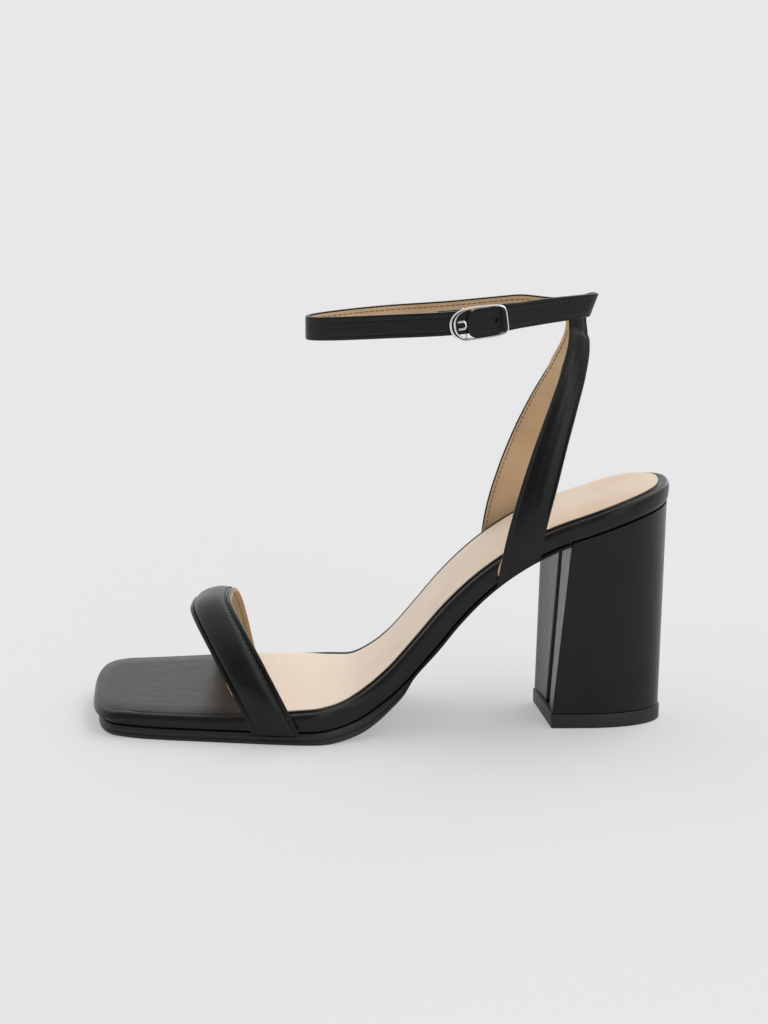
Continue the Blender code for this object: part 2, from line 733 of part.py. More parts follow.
def wire(name, centres, radius, square_to):
    """A round wire through a few places that lie in one plane, with flat ends."""
    along = np.gradient(np.array(centres), axis=0)
    points = []
    for centre, way in zip(centres, along):
        second = np.cross(way / np.linalg.norm(way), square_to)
        second = second / np.linalg.norm(second)
        for side in range(WIRE_SIDES):
            angle = 2 * pi * side / WIRE_SIDES
            points.append(centre + radius * (square_to * cos(angle) + second * sin(angle)))
    last = (len(centres) - 1) * WIRE_SIDES
    faces = [tuple(range(WIRE_SIDES)), tuple(range(last, last + WIRE_SIDES))]
    for row in range(len(centres) - 1):
        low, high = row * WIRE_SIDES, (row + 1) * WIRE_SIDES
        for i in range(WIRE_SIDES):
            j = (i + 1) % WIRE_SIDES
            faces.append((low + i, low + j, high + j, high + i))
    return add_object(name, points, faces, PLATED_METAL)


def build_bar():
    """The bar that carries the strap's fold, set back from the frame on two arms."""
    deep = -(BUCKLE_OFFSET + BAR_RADIUS + CLEAR + ANKLE_THICK / 2)
    upper = ((BAR_ARM, 0.0), (BAR_ARM, deep * BAR_ARM_DEPTH), (BAR_ARM * BAR_BEND_HEIGHT, deep))
    lower = [(-height, depth) for height, depth in reversed(upper)]
    route = [buckle_place(BAR_X, height, depth) for height, depth in (*upper, (0.0, deep), *lower)]
    along_strap = np.array((1.0, 0.0, BUCKLE_SLOPE)) / np.hypot(1.0, BUCKLE_SLOPE)
    return wire("buckle_bar", route, BAR_RADIUS, along_strap)


def build_prong():
    """A wire hairpin that lies on the strap between the frame's round end and the strap's tip."""
    start = BUCKLE_LEFT_X + 2 * BUCKLE_END_RAIL + CLEAR + PRONG_RADIUS
    depth = -BUCKLE_OFFSET + ANKLE_THICK / 2 + CLEAR + PRONG_RADIUS
    route = [buckle_place(start, PRONG_HALF_WIDTH, depth)]
    bend_x = start + PRONG_LENGTH - PRONG_HALF_WIDTH - 2 * PRONG_RADIUS
    for step in range(PRONG_STEPS + 1):
        angle = pi * step / PRONG_STEPS
        x = bend_x + PRONG_HALF_WIDTH * sin(angle)
        route.append(buckle_place(x, PRONG_HALF_WIDTH * cos(angle), depth))
    route.append(buckle_place(start, -PRONG_HALF_WIDTH, depth))
    return wire("buckle_prong", route, PRONG_RADIUS, np.array((0.0, 1.0, 0.0)))


def main():
    clear_scene()
    sole_layer("outsole", OUTSOLE_EDGE, "outsole", BLACK_RUBBER, back=BREAST_TOP_X - 2 * CLEAR)
    sole_layer("footbed", FOOTBED_EDGE, "footbed", BLACK_LEATHER)
    sole_layer("insole_sock", SOCK_EDGE, "footbed", BEIGE_LINING, front=SOCK_FRONT_X)
    build_heel()
    build_top_lift()
    build_toe_strap()
    build_heel_straps()
    build_ankle_strap()
    build_buckle_frame()
    build_prong()


main()
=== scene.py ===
"""The looks of a left block-heel sandal: fine surfaces, linings, stitches, finishes, light and camera.

Sizes and tables are in millimetres from the shoe's own axis, with the toe to -X, the outer side
to -Y and the floor at z = 0. The meshes are made in metres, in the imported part's own frame.
"""

from collections import namedtuple
from functools import lru_cache
from math import atan, cos, exp, pi, radians, sin

import bmesh
import bpy
import numpy as np
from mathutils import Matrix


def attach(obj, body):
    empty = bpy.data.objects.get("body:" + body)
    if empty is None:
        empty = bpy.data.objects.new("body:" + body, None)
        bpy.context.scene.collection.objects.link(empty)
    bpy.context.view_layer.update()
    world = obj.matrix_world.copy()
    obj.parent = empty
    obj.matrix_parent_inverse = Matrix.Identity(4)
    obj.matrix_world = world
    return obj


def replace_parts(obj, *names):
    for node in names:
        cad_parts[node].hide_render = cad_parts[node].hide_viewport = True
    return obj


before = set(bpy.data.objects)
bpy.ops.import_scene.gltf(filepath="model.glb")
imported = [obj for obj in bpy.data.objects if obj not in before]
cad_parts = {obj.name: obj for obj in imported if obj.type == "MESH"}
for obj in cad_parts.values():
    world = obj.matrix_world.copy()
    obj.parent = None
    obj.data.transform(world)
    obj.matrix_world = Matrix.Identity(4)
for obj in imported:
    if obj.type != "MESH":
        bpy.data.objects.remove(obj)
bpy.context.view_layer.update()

MM = 0.001
CLEAR = 0.3
ORIGIN_X = -3.1
ORIGIN_Y = 3.1
BODY = "root"
SHARP_ANGLE = 50.0


def table(columns, *rows):
    """Rows of a table with named columns."""
    Row = namedtuple("Row", columns)
    return tuple(Row(*row) for row in rows)


# The sole along its length, as in the part's source
SOLE = table(
    "x feather lateral medial footbed outsole",
    (-116.0, 6.0, 27.5, 35.5, 7.8, 4.2),
    (-104.0, 5.0, 29.5, 38.0, 8.0, 4.4),
    (-92.0, 4.5, 31.8, 40.8, 8.2, 4.8),
    (-70.0, 4.4, 35.3, 43.8, 8.4, 4.8),
    (-50.0, 4.5, 38.5, 45.2, 8.6, 4.8),
    (-32.0, 4.7, 40.0, 44.8, 8.8, 5.0),
    (-22.0, 5.2, 38.8, 41.3, 9.0, 5.3),
    (-10.0, 8.0, 34.0, 33.8, 9.1, 5.2),
    (1.0, 14.9, 30.5, 30.0, 9.0, 3.8),
    (7.0, 20.1, 29.5, 29.0, 9.0, 2.6),
    (9.5, 22.6, 29.2, 28.8, 9.0, 1.4),
    (20.0, 35.0, 29.0, 28.6, 9.0, 1.3),
    (28.5, 45.6, 29.0, 28.6, 8.8, 1.2),
    (38.5, 56.2, 29.3, 28.8, 8.4, 1.2),
    (50.0, 65.4, 29.6, 29.1, 8.1, 1.2),
    (65.0, 73.8, 29.6, 29.1, 8.1, 1.2),
    (80.0, 79.2, 29.4, 28.9, 8.3, 1.2),
    (95.0, 84.2, 29.0, 28.5, 8.6, 1.2),
    (112.0, 88.6, 28.5, 28.0, 8.8, 1.2),
)
TOE_X = -114.6
TOE_ROUND = 13.0
TOE_SQUARENESS = 3.2
TOE_SKEW = 0.09
TOE_SKEW_FADE = 45.0
SEAT_X = 110.2
SEAT_ROUND = 30.0
SEAT_SQUARENESS = 2.2
SEAT_UPRIGHT_FROM_X = 66.0
SEAT_UPRIGHT = 0.8
END_STEPS = 22
MID_STEP = 2.0
TURN_ROUNDS = 4
SLOPE_REACH = 0.5

# Section of the sole's edge, from its foot up: inset from the outline, share of the layer's
# thickness, rise, share of the sock's recess
Edge = namedtuple("Edge", "inset share rise recess", defaults=(0.0, 0.0))
FOOTBED_EDGE = (
    Edge(2.4, 0.0, CLEAR),
    Edge(1.5, 0.0, 0.45),
    Edge(1.0, 0.0, 0.9),
    Edge(0.55, 0.0, 1.8),
    Edge(0.1, 0.5),
    Edge(0.0, 1.0, -3.0),
    Edge(0.15, 1.0, -2.0, 0.05),
    Edge(0.5, 1.0, -1.1, 0.15),
    Edge(1.0, 1.0, -0.68, 0.22),
    Edge(1.6, 1.0, -0.52, 0.25),
    Edge(2.2, 1.0, -0.5, 0.3),
    Edge(2.9, 1.0, -0.45, 0.55),
    Edge(3.3, 1.0, -0.38, 0.3),
    Edge(3.6, 1.0, -0.33, -0.2),
    Edge(3.8, 1.0, -0.3),
    Edge(3.95, 1.0, -0.28, 0.7),
    Edge(6.0, 1.0, -0.08, 0.92),
    Edge(10.0, 1.0, 0.12, 1.08),
)
TOE_UNDERCUT = {"footbed": 1.3, "outsole": 1.5}
TOE_ROLL = 1.5
TOE_ROLL_WIDTH = 8.0
RIM_CREASE = 0.3
RIM_CREASE_INSET = 2.6
RIM_CREASE_WIDTH = 0.55
RIM_CREASE_X = (-104.0, -92.0)
RIM_UNEVEN = 0.25
RIM_WAVES = (0.31, 0.13)
OUTSOLE_EDGE = (
    Edge(2.4, 0.0),
    Edge(1.5, -0.02),
    Edge(1.2, -0.08),
    Edge(1.1, -0.17),
    Edge(0.75, -0.27),
    Edge(0.7, -0.40),
    Edge(0.95, -0.50),
    Edge(1.4, -0.56),
    Edge(1.4, -0.61),
    Edge(1.1, -0.67),
    Edge(1.0, -0.76),
    Edge(1.1, -0.90),
    Edge(1.6, -1.0),
)
INNER_RIM = 1.35
INNER_RIM_WIDTH = 3.8
INNER_RIM_X = ((-34.0, -20.0), (60.0, 76.0))
LATERAL_DROP = 2.0
LATERAL_DROP_X = (-75.0, -25.0)
SOCK_FRONT_X = -50.0
SOCK_SKEW = 0.16
SOCK_SKEW_FADE = 40.0
SOCK_RECESS = 1.2
SOCK_RAMP_X = (SOCK_FRONT_X - 2.0, SOCK_FRONT_X)
SOCK_CROWN = 0.3
SOCK_EDGE = (
    Edge(4.4, 1.0, -1.0),
    Edge(4.1, 1.0, -0.8),
    Edge(4.05, 1.0, -0.3),
    Edge(4.05, 1.0, 0.05),
    Edge(4.25, 1.0, 0.2),
    Edge(4.8, 1.0, 0.25),
)
EDGE_STEPS = 4
ACROSS_STEPS = 36
RELIEF_FADE = 8

# Soft creases in the leather over the toes: two ends, depth and half width
TOE_CREASES = table(
    "x0 y0 x1 y1 depth width",
    (-101.0, 27.0, -66.0, 31.0, 0.05, 2.6),
    (-96.0, 14.0, -80.0, 15.5, 0.05, 1.8),
    (-88.0, 20.0, -62.0, 23.0, 0.05, 2.4),
    (-104.0, 5.0, -74.0, 3.0, 0.05, 2.6),
    (-92.0, -4.0, -64.0, -8.0, 0.05, 2.0),
    (-100.0, -12.0, -78.0, -14.5, 0.05, 2.2),
    (-94.0, -19.0, -66.0, -23.0, 0.05, 2.8),
)
CREASE_FADE = 0.45

# Block heel and its wear piece
BREAST_TOP_X = 67.0
BREAST_FOOT_X = 62.8
BREAST_SKEW = 0.137
HEEL_TOP_INSET = 1.0
HEEL_FOOT_BACK_X = 108.0
HEEL_FOOT_WIDTH = 0.61
HEEL_LEVELS = 36
HEEL_FOOT_Z = 6.0
HEEL_CORNER = 0.7
HEEL_CORNER_STEPS = 6
BREAST_HOLLOW = 1.0
BREAST_STEPS = 10
LIFT_TOP = HEEL_FOOT_Z - CLEAR
LIFT_SECTION = table(
    "proud z",
    (-0.05, 0.0),
    (0.3, 0.15),
    (0.45, 0.5),
    (0.45, LIFT_TOP - 0.3),
    (0.35, LIFT_TOP - 0.1),
    (0.15, LIFT_TOP),
)
BREAST_SEAM_Y = -0.26
BREAST_SEAM_HALF = (0.03, 0.105)
BREAST_SEAM_DEPTH = 1.6
SEAM_SIDE = ((1.0, 0.0), (0.96, 0.06), (0.92, 0.3), (0.9, 1.0))

# Toe strap: where its two edges leave the sole and where they peak
TOE_FRONT, TOE_REAR = table(
    "lateral_x peak_x peak_z medial_x",
    (-50.0, -75.4, 44.0, -63.5),
    (-32.0, -59.6, 48.0, -49.5),
)
TOE_LEAN = {"lateral": 1.05, "medial": 0.52}
TOE_ARCH = {"lateral": 2.14, "medial": 2.5}
TOE_INWARD = 0.3
TOE_CREST = 0.08
TOE_STAND_OFF = 0.75
TOE_PEAK_Y = -0.8
TOE_STEPS = 156
STRAP_END_FULLNESS = 0.45
TOE_END_STEPS = 24
TOE_COLUMNS = 72
TOE_LIP = 1.15
TOE_LIP_EDGE = (-0.03, 0.025)
TOE_SWELL = 2.2
TOE_SWELL_FLATNESS = 2.3
TOE_SWELL_ROUNDNESS = 0.65
TOE_SEAMS = table("share depth width", (0.095, 0.6, 0.013), (0.885, 0.3, 0.012))
TOE_REAR_STITCH = 0.862
# Soft folds across a strap: where they cross its two edges, along its length, depth and half width
FOLD_COLUMNS = "front rear depth width"
TOE_FOLDS = table(
    FOLD_COLUMNS,
    (0.10, 0.13, 0.10, 0.016),
    (0.20, 0.17, 0.08, 0.02),
    (0.33, 0.36, 0.07, 0.022),
    (0.68, 0.65, 0.08, 0.02),
    (0.86, 0.83, 0.10, 0.018),
)
LINING_THICK = 0.45
LINING_GAP = 0.05
LINING_COLUMNS = 10
LEAST_LEATHER = 0.2
# Linings: the two edges as shares across the strap, how far each moves out, and where along the strap;
# the front edge moves out low down and near the top
TOE_LINING, HEEL_LINING, ANKLE_LINING = table(
    "front low_out low top_out top rear rear_out behind",
    (0.03, 0.05, ((0.08, 0.12), (0.13, 0.19)), 0.0, (0.0, 1.0), 0.97, 0.035, (0.12, 0.2)),
    (0.04, 0.09, ((0.02, 0.06), (0.07, 0.13)), 0.075, (0.74, 0.84), 0.95, -0.4, (0.7, 0.95)),
    (0.06, 0.0, ((0.0, 1.0), (0.0, 1.0)), 0.0, (0.0, 1.0), 0.94, 0.0, (0.0, 1.0)),
)

# Heel straps: the outer face at the front and rear edges of the outer strap, from the sole up
HEEL_BASE_X = {"front": 42.6, "rear": 58.9}
HEEL_BASE_FORWARD = 5.0
HEEL_STRAP = table(
    "front_x front_y front_z rear_x rear_y rear_z forward",
    (46.0, 32.2, 79.0, 61.6, 32.0, 85.5, 4.8),
    (50.2, 30.9, 95.0, 65.0, 30.4, 99.0, 4.4),
    (55.4, 27.6, 111.0, 68.6, 26.8, 113.0, 3.8),
    (61.3, 22.2, 126.0, 72.7, 20.6, 126.5, 3.0),
    (66.8, 15.6, 139.5, 76.6, 12.6, 139.0, 1.6),
    (70.2, 10.2, 149.5, 78.4, 5.4, 148.5, 0.4),
)
HEEL_FOLDS = table(FOLD_COLUMNS, (0.93, 0.885, 0.4, 0.008), (0.905, 0.86, -0.15, 0.012))
HEEL_TAB_X = {"front": 71.0, "rear": 77.4}
HEEL_TAB_REAR_Y = 0.4
HEEL_TAB_Z = (157.5, 163.5)
HEEL_STEPS = 100
HEEL_END_STEPS = 20
HEEL_COLUMNS = 44
FLAT_THICK = 2.0
FLAT_LIP = 1.62
FLAT_LIP_EDGE = (-0.05, 0.03)
FLAT_CROWN = 0.4
HEEL_SEAM = 0.115
HEEL_SEAM_DEPTH = 0.22
HEEL_SEAM_WIDTH = 0.018
HEEL_LINED = 0.96
HEEL_REAR_SEAM = 0.7

# Ankle strap: a flat loop round the ankle, seen from above, and its rise towards the back
ANKLE_MID_X = 25.0
ANKLE_HALF_LENGTH = 54.0
ANKLE_HALF_WIDTH = 15.5
ANKLE_POWER = (0.95, 1.35)
ANKLE_THICK = 1.9
ANKLE_TALL = 8.9
FREE_END_TALL = table(
    "x tall",
    (31.0, 11.0),
    (41.0, 11.0),
    (45.0, 10.5),
    (50.0, 9.8),
    (60.0, 9.6),
    (79.0, 8.9),
)
FREE_END_DROP = 0.6
ANKLE_RISE = table(
    "x z",
    (-32.0, 154.0),
    (0.0, 156.4),
    (25.0, 157.9),
    (47.0, 160.2),
    (62.0, 162.0),
    (82.0, 163.2),
)
INNER_DIP = 2.2
INNER_DIP_X = ((50.0, 66.0), (71.0, 79.0))
ANKLE_BACK_LEAN = 0.38
ANKLE_LEAN_FROM_X = 58.0
ANKLE_LEAN_RUN = 22.0
ANKLE_STEPS = 110
ANKLE_COLUMNS = 28
ANKLE_EDGE = 0.86
ANKLE_EDGE_WIDTH = 0.05
ANKLE_SEAM = 0.2
ANKLE_SEAM_DEPTH = 0.12
ANKLE_SEAM_WIDTH = 0.03

# Buckle on the outer side
BUCKLE_LEFT_X = 24.4
BUCKLE_RIGHT_X = 46.4
BUCKLE_HALF_TALL = 6.7
BUCKLE_ROUND_END = 2.3
BUCKLE_SQUARE_END = 5.0
BUCKLE_SLOPE = 0.135
BUCKLE_TAPER = 0.07
BUCKLE_RAIL = 0.36
BUCKLE_END_RAIL = 1.25
BUCKLE_DEPTH = 0.8
BUCKLE_GROOVE = 1.1
BUCKLE_GROOVE_WIDTH = 0.24
BUCKLE_GROOVE_END = (0.2, 0.7)
# How deep the buckle's groove must be for its faces to take the dark plating, which is painted shade
# there
GROOVE_PAINTED_SHADE_DEPTH = 0.25
BUCKLE_OFFSET = 2.6
BUCKLE_DROP = 0.9
LOWER_RAIL_RAISE = 0.1
LOWER_RAIL_X = (28.0, 34.0)
BUCKLE_STEPS = 132
FRAME_SIDES = 64
WIRE_SIDES = 14
BAR_X = 30.2
BAR_RADIUS = 0.5
BAR_ARM = 5.75
BAR_ARM_DEPTH = 0.7
BAR_ARM_END = -0.1
BAR_BEND_HEIGHT = 0.93
FOLD_LENGTH = 10.0
FOLD_STEPS = 12
TIP_X = 31.6
TIP_STEP = 0.5
TIP_ROUND_LENGTH = 4.0
TIP_TAPER = 0.45
TIP_LIFT_FROM_X = 47.0
TIP_LIFT_TO_X = 38.0
PRONG_LENGTH = 4.0
PRONG_HALF_WIDTH = 1.35
PRONG_RADIUS = 0.5
PRONG_STEPS = 24
HOLE_X = 41.0
HOLE_RADIUS = 0.75
HOLE_FLOOR = 0.9
HOLE_CUT_PROUD = 0.5

# Stitches: pitch along the seam, length and half thickness of one; its shape; how far it stands out
FINE_STITCH, BOLD_STITCH = table("pitch length radius", (2.1, 1.6, 0.17), (2.5, 1.9, 0.34))
STITCH_SIDES = 6
STITCH_RINGS = table("along girth", (-1.0, 0.35), (-0.7, 0.9), (0.0, 1.0), (0.7, 0.9), (1.0, 0.35))
STITCH_PROUD = 0.04
TOE_STITCH_PROUD = 0.05
LINING_STITCH_PROUD = -0.02
END_SEAM_X = (74.0, 76.3)
END_SEAM_SHARES = np.linspace(0.1, 0.9, 9)
TIP_SEAM_X = 33.4

# Camera, from the photograph's view, in the shoe's own axes
CAMERA_Y = -857.0
CAMERA_Z = 275.0
CAMERA_PITCH = 12.682
CAMERA_LENS = 79.66
CAMERA_SENSOR = 36.0

# Light and floor
FLOOR_HALF = 1000.0
FLOOR_COLOUR = 0.43
FLOOR_GLOW = 0.34
SKY_BRIGHT = 0.99
SKY_FRONT = 0.12
SKY_FRONT_Y = (-0.95, 0.1)
STRIP_BRIGHT = 1.8
STRIP_X = (0.12, 0.42, 0.72)
HORIZON = 0.806
HORIZON_BAND = 0.04

# Finishes: the ends of a colour ramp; where the sock's tint runs darker and tanner towards the heel seat,
# in metres, and the shift of its tint there, which is a painted reflection
TINT_RANGE = (0.3, 0.7)
PAINTED_REFLECTION_X = (-0.03, 0.09)
PAINTED_REFLECTION = (0.35, -0.1)


Look = namedtuple("Look", "material slot")


def ease(value, start, stop):
    """0 before start, 1 after stop, and a soft step between."""
    share = min(max((value - start) / (stop - start), 0.0), 1.0)
    return share * share * (3 - 2 * share)


def hump(value, start, stop):
    """1 between two spans and 0 outside them, with a soft step over each."""
    return ease(value, *start) * (1 - ease(value, *stop))


def bell(offset, width):
    return exp(-((offset / width) ** 2))


def mix(start, stop, share):
    return start + (stop - start) * share


def unit(vector):
    return vector / np.linalg.norm(vector)


def circle(sides):
    """Cosine and sine of even steps round a circle."""
    angles = [2 * pi * side / sides for side in range(sides)]
    return [(cos(angle), sin(angle)) for angle in angles]


def reach_along(places):
    """Length along a line of places, up to each of them."""
    return np.concatenate(([0.0], np.cumsum(np.linalg.norm(np.diff(places, axis=0), axis=1))))


@lru_cache(maxsize=None)
def curve_of(rows, column):
    """Places, values and slopes of a table's column, for a cubic that doesn't overshoot its rows."""
    xs = np.array([getattr(row, rows[0]._fields[0]) for row in rows])
    ys = np.array([getattr(row, column) for row in rows])
    steps = np.diff(ys) / np.diff(xs)
    slopes = np.concatenate(([steps[0]], (steps[1:] + steps[:-1]) / 2, [steps[-1]]))
    flat = np.concatenate(([False], steps[1:] * steps[:-1] <= 0, [False]))
    slopes[flat] = 0.0
    return xs, ys, slopes


def smooth(rows, column, at):
    """A column of a table read at `at`."""
    xs, ys, slopes = curve_of(rows, column)
    at = min(max(at, xs[0]), xs[-1])
    i = min(int(np.searchsorted(xs, at, side="right")) - 1, len(xs) - 2)
    width = xs[i + 1] - xs[i]
    t = (at - xs[i]) / width
    return float(
        (2 * t**3 - 3 * t**2 + 1) * ys[i]
        + (t**3 - 2 * t**2 + t) * width * slopes[i]
        + (3 * t**2 - 2 * t**3) * ys[i + 1]
        + (t**3 - t**2) * width * slopes[i + 1]
    )


def add_piece(name, shape, look, node=None):
    """One closed mesh from points in millimetres and faces, riding on the shoe."""
    points, faces = shape
    mesh = bpy.data.meshes.new(name)
    placed = [((x - ORIGIN_X) * MM, (y - ORIGIN_Y) * MM, z * MM) for x, y, z in points]
    mesh.from_pydata(placed, [], faces)
    work = bmesh.new()
    work.from_mesh(mesh)
    bmesh.ops.recalc_face_normals(work, faces=work.faces)
    work.to_mesh(mesh)
    work.free()
    mesh.shade_smooth()
    mesh.set_sharp_from_angle(angle=radians(SHARP_ANGLE))
    mesh.materials.append(look.material)
    piece = bpy.data.objects.new(name, mesh)
    bpy.context.scene.collection.objects.link(piece)
    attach(piece, BODY)
    if node:
        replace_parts(piece, node)
    return piece


def ring_faces(rings, size, closed=False):
    """Quads between rings of equal length; `closed` also joins the last ring to the first."""
    faces = []
    for level in range(rings if closed else rings - 1):
        low, high = level * size, (level + 1) % rings * size
        for i in range(size):
            j = (i + 1) % size
            faces.append((low + i, low + j, high + j, high + i))
    return faces


def capped(rings):
    """Points and faces of a form from rings of equal length, with a face on each end."""
    count, size = len(rings), len(rings[0])
    ends = [tuple(range(size)), tuple(range((count - 1) * size, count * size))]
    return [point for ring in rings for point in ring], ring_faces(count, size) + ends


# Sole
def sole_point(x, y, height):
    """A point `height` above the feather line, square to it, but upright round the heel seat."""
    before, z, after = (smooth(SOLE, "feather", x + step) for step in (-SLOPE_REACH, 0.0, SLOPE_REACH))
    upright = SEAT_UPRIGHT * ease(x, SEAT_UPRIGHT_FROM_X, SEAT_X)
    slope = atan((after - before) / (2 * SLOPE_REACH)) * (1 - upright)
    return np.array((x - height * sin(slope), y, max(z + height * cos(slope), 0.0)))


def end_curve(squareness):
    """Places round one end, from its middle to its side: share of the width, share of the length."""
    angles = [0.5 * pi * step / END_STEPS for step in range(1, END_STEPS + 1)]
    return [(sin(angle) ** (2 / squareness), 1 - cos(angle) ** (2 / squareness)) for angle in angles]


def even_steps(start, stop):
    return np.linspace(start, stop, 1 + max(1, round((stop - start) / MID_STEP)))


def stations(front=None, back=None):
    """Places along the sole as (x, share of the width, end): -1 round the toe and 1 round the seat."""
    places = []
    start = front
    if front is None:
        places += [(along, across, -1) for across, along in end_curve(TOE_SQUARENESS)]
        places += [(x, 1.0, 0) for x in even_steps(TOE_X + TOE_ROUND, SOCK_RAMP_X[0])[1:]]
        start = SOCK_FRONT_X
    stop = SEAT_X - SEAT_ROUND if back is None else back
    places += [(x, 1.0, 0) for x in even_steps(start, stop)]
    if back is None:
        places += [(along, across, 1) for across, along in reversed(end_curve(SEAT_SQUARENESS)[:-1])]
    return places


def forward_turn(x, breast=None):
    """How far the inner side lies ahead of the outer side, for each millimetre between them."""
    toe = TOE_SKEW * max(0.0, 1 - abs(x - TOE_X) / TOE_SKEW_FADE)
    strap = SOCK_SKEW * (1 - ease(abs(x - SOCK_FRONT_X), 0.0, SOCK_SKEW_FADE))
    cut = BREAST_SKEW * ease(x, breast - SOCK_SKEW_FADE, breast) if breast else 0.0
    return toe + strap + cut


def side_reach(x, side):
    """How far the sole reaches to one side of its axis at a true place along it."""
    turned_x = x
    for _ in range(TURN_ROUNDS):
        reach = smooth(SOLE, side, turned_x)
        turned_x = x + forward_turn(turned_x) * (reach if side == "medial" else -reach)
    return reach


def sole_ring(edge, column, front=None, back=None):
    """One closed ring of a sole layer: down the outer side and back up the inner side."""
    sides = {"lateral": [], "medial": []}
    for place, across, end in stations(front, back):
        roll = 0.0
        if end < 0:
            inset = edge.inset + TOE_UNDERCUT[column] * (1 - max(edge.share, 0.0))
            x = TOE_X + inset + (TOE_ROUND - inset) * place
            roll = TOE_ROLL * (1 - place) * edge.share * max(0.0, 1 - edge.inset / TOE_ROLL_WIDTH) ** 2
        elif end > 0:
            x = SEAT_X - edge.inset - (SEAT_ROUND - edge.inset) * place
        else:
            x = place
        recess = SOCK_RECESS * ease(x, *SOCK_RAMP_X)
        for side, points in sides.items():
            reach = across * (smooth(SOLE, side, x) - edge.inset)
            y = reach if side == "medial" else -reach
            thick = smooth(SOLE, column, x)
            height = edge.rise - edge.recess * recess
            if column == "footbed":
                thick -= lateral_drop(x, y)
                if edge.rise < 0:
                    height += inner_rim(x, edge.inset) if side == "medial" else -rim_crease(x, edge.inset)
                height -= roll
            height += edge.share * thick
            points.append(sole_point(x - forward_turn(x, back) * y, y, height))
    return sides["lateral"] + sides["medial"][::-1]


def lateral_drop(x, y):
    """How much thinner the footbed is under the toes, from none on its inner side to all on its outer."""
    inner = smooth(SOLE, "medial", x)
    across = (inner - y) / (inner + smooth(SOLE, "lateral", x))
    return LATERAL_DROP * across * (1 - ease(x, *LATERAL_DROP_X))


def inner_rim(x, inset):
    """How far the rim stands above the sock on the inner side of the waist."""
    return INNER_RIM * hump(x, *INNER_RIM_X) * max(0.0, 1 - inset / INNER_RIM_WIDTH)


def rim_crease(x, inset):
    """The cover's crease just inside the rim on the outer side, uneven along the toe."""
    wave = sin(RIM_WAVES[0] * x) * sin(RIM_WAVES[1] * x + 1.0)
    uneven = 1 - RIM_UNEVEN + RIM_UNEVEN * wave
    along = hump(x, RIM_CREASE_X, SOCK_RAMP_X)
    return RIM_CREASE * uneven * along * bell(inset - RIM_CREASE_INSET, RIM_CREASE_WIDTH)


def fine_edges(edges):
    """More rows between a table's rows of the edge, on a smooth curve."""
    rows = table(("index", *Edge._fields), *((i, *edge) for i, edge in enumerate(edges)))
    places = [k / EDGE_STEPS for k in range((len(edges) - 1) * EDGE_STEPS + 1)]
    return [Edge(*(smooth(rows, field, place) for field in Edge._fields)) for place in places]


def sole_layer(edges, column, relief, front=None, back=None):
    """A sole layer: rings up its side, a plain underside and a top with relief(point, share across).

    The relief fades at the two ends, where the top meets the straight ends of the rings.
    """
    rings = [sole_ring(edge, column, front, back) for edge in fine_edges(edges)]
    size = len(rings[0])
    half = size // 2
    points = [point for ring in rings for point in ring]
    faces = ring_faces(len(rings), size)
    for i in range(half - 1):
        faces.append((i, i + 1, size - 2 - i, size - 1 - i))
    top = (len(rings) - 1) * size
    rows = []
    for i in range(half):
        outer, inner = points[top + i], points[top + size - 1 - i]
        fade = ease(min(i, half - 1 - i), 0, RELIEF_FADE)
        row = [top + i]
        for step in range(1, ACROSS_STEPS):
            share = step / ACROSS_STEPS
            place = mix(outer, inner, share)
            points.append(place + np.array((0.0, 0.0, fade * relief(place, share))))
            row.append(len(points) - 1)
        rows.append(row + [top + size - 1 - i])
    for i in range(half - 1):
        for j in range(ACROSS_STEPS):
            faces.append((rows[i][j], rows[i][j + 1], rows[i + 1][j + 1], rows[i + 1][j]))
    low = top - size
    faces[low + half - 1] = (low + half - 1, low + half, *reversed(rows[-1]))
    faces[low + size - 1] = (low + size - 1, low, *rows[0])
    return points, faces


def toe_relief(place, _share):
    """The soft creases of the leather over the toes, down from the footbed's top."""
    depth = 0.0
    if place[0] >= SOCK_FRONT_X:
        return depth
    for crease in TOE_CREASES:
        start = np.array((crease.x0, crease.y0))
        run = np.array((crease.x1, crease.y1)) - start
        along = float(np.dot(place[:2] - start, run) / np.dot(run, run))
        off = np.linalg.norm(place[:2] - start - run * min(max(along, 0.0), 1.0))
        fade = hump(along, (0.0, CREASE_FADE), (1 - CREASE_FADE, 1.0))
        depth -= crease.depth * fade * bell(off, crease.width)
    return depth


def sock_relief(_place, share):
    return SOCK_CROWN * 4 * share * (1 - share)


def build_sole(looks):
    """The sheet sole, the covered footbed and the sock let into its top."""
    sheet = sole_layer(OUTSOLE_EDGE, "outsole", lambda place, share: 0.0, back=BREAST_TOP_X - 2 * CLEAR)
    add_piece("sole_sheet", sheet, looks["rubber"], "outsole")
    cover = sole_layer(FOOTBED_EDGE, "footbed", toe_relief)
    add_piece("footbed_cover", cover, looks["drawn_leather"], "footbed")
    sock = sole_layer(SOCK_EDGE, "footbed", sock_relief, front=SOCK_FRONT_X)
    add_piece("sock_lining", sock, looks["sock"], "insole_sock")


# Heel
def heel_ends(level):
    """Where the heel's breast and back are at a level, 0 at the seat and 1 at the foot."""
    return mix(BREAST_TOP_X, BREAST_FOOT_X, level), mix(SEAT_X - HEEL_TOP_INSET, HEEL_FOOT_BACK_X, level)


def heel_ring(level, proud=0.0):
    """The heel's outline at a level, as (x, y) places."""
    breast_top, back_top = heel_ends(0.0)
    breast, back = heel_ends(level)
    narrow = mix(1, HEEL_FOOT_WIDTH, level)
    ring = []
    for x, y, _ in sole_ring(Edge(HEEL_TOP_INSET, 0.0), "footbed", front=BREAST_TOP_X):
        along = (x - breast_top) / (back_top - breast_top)
        y_here = y * narrow + proud * np.sign(y)
        skew = BREAST_SKEW * (1 - along) ** 2
        ring.append(np.array((mix(breast - proud, back + proud, along) - skew * y_here, y_here)))
    return round_corners(ring)


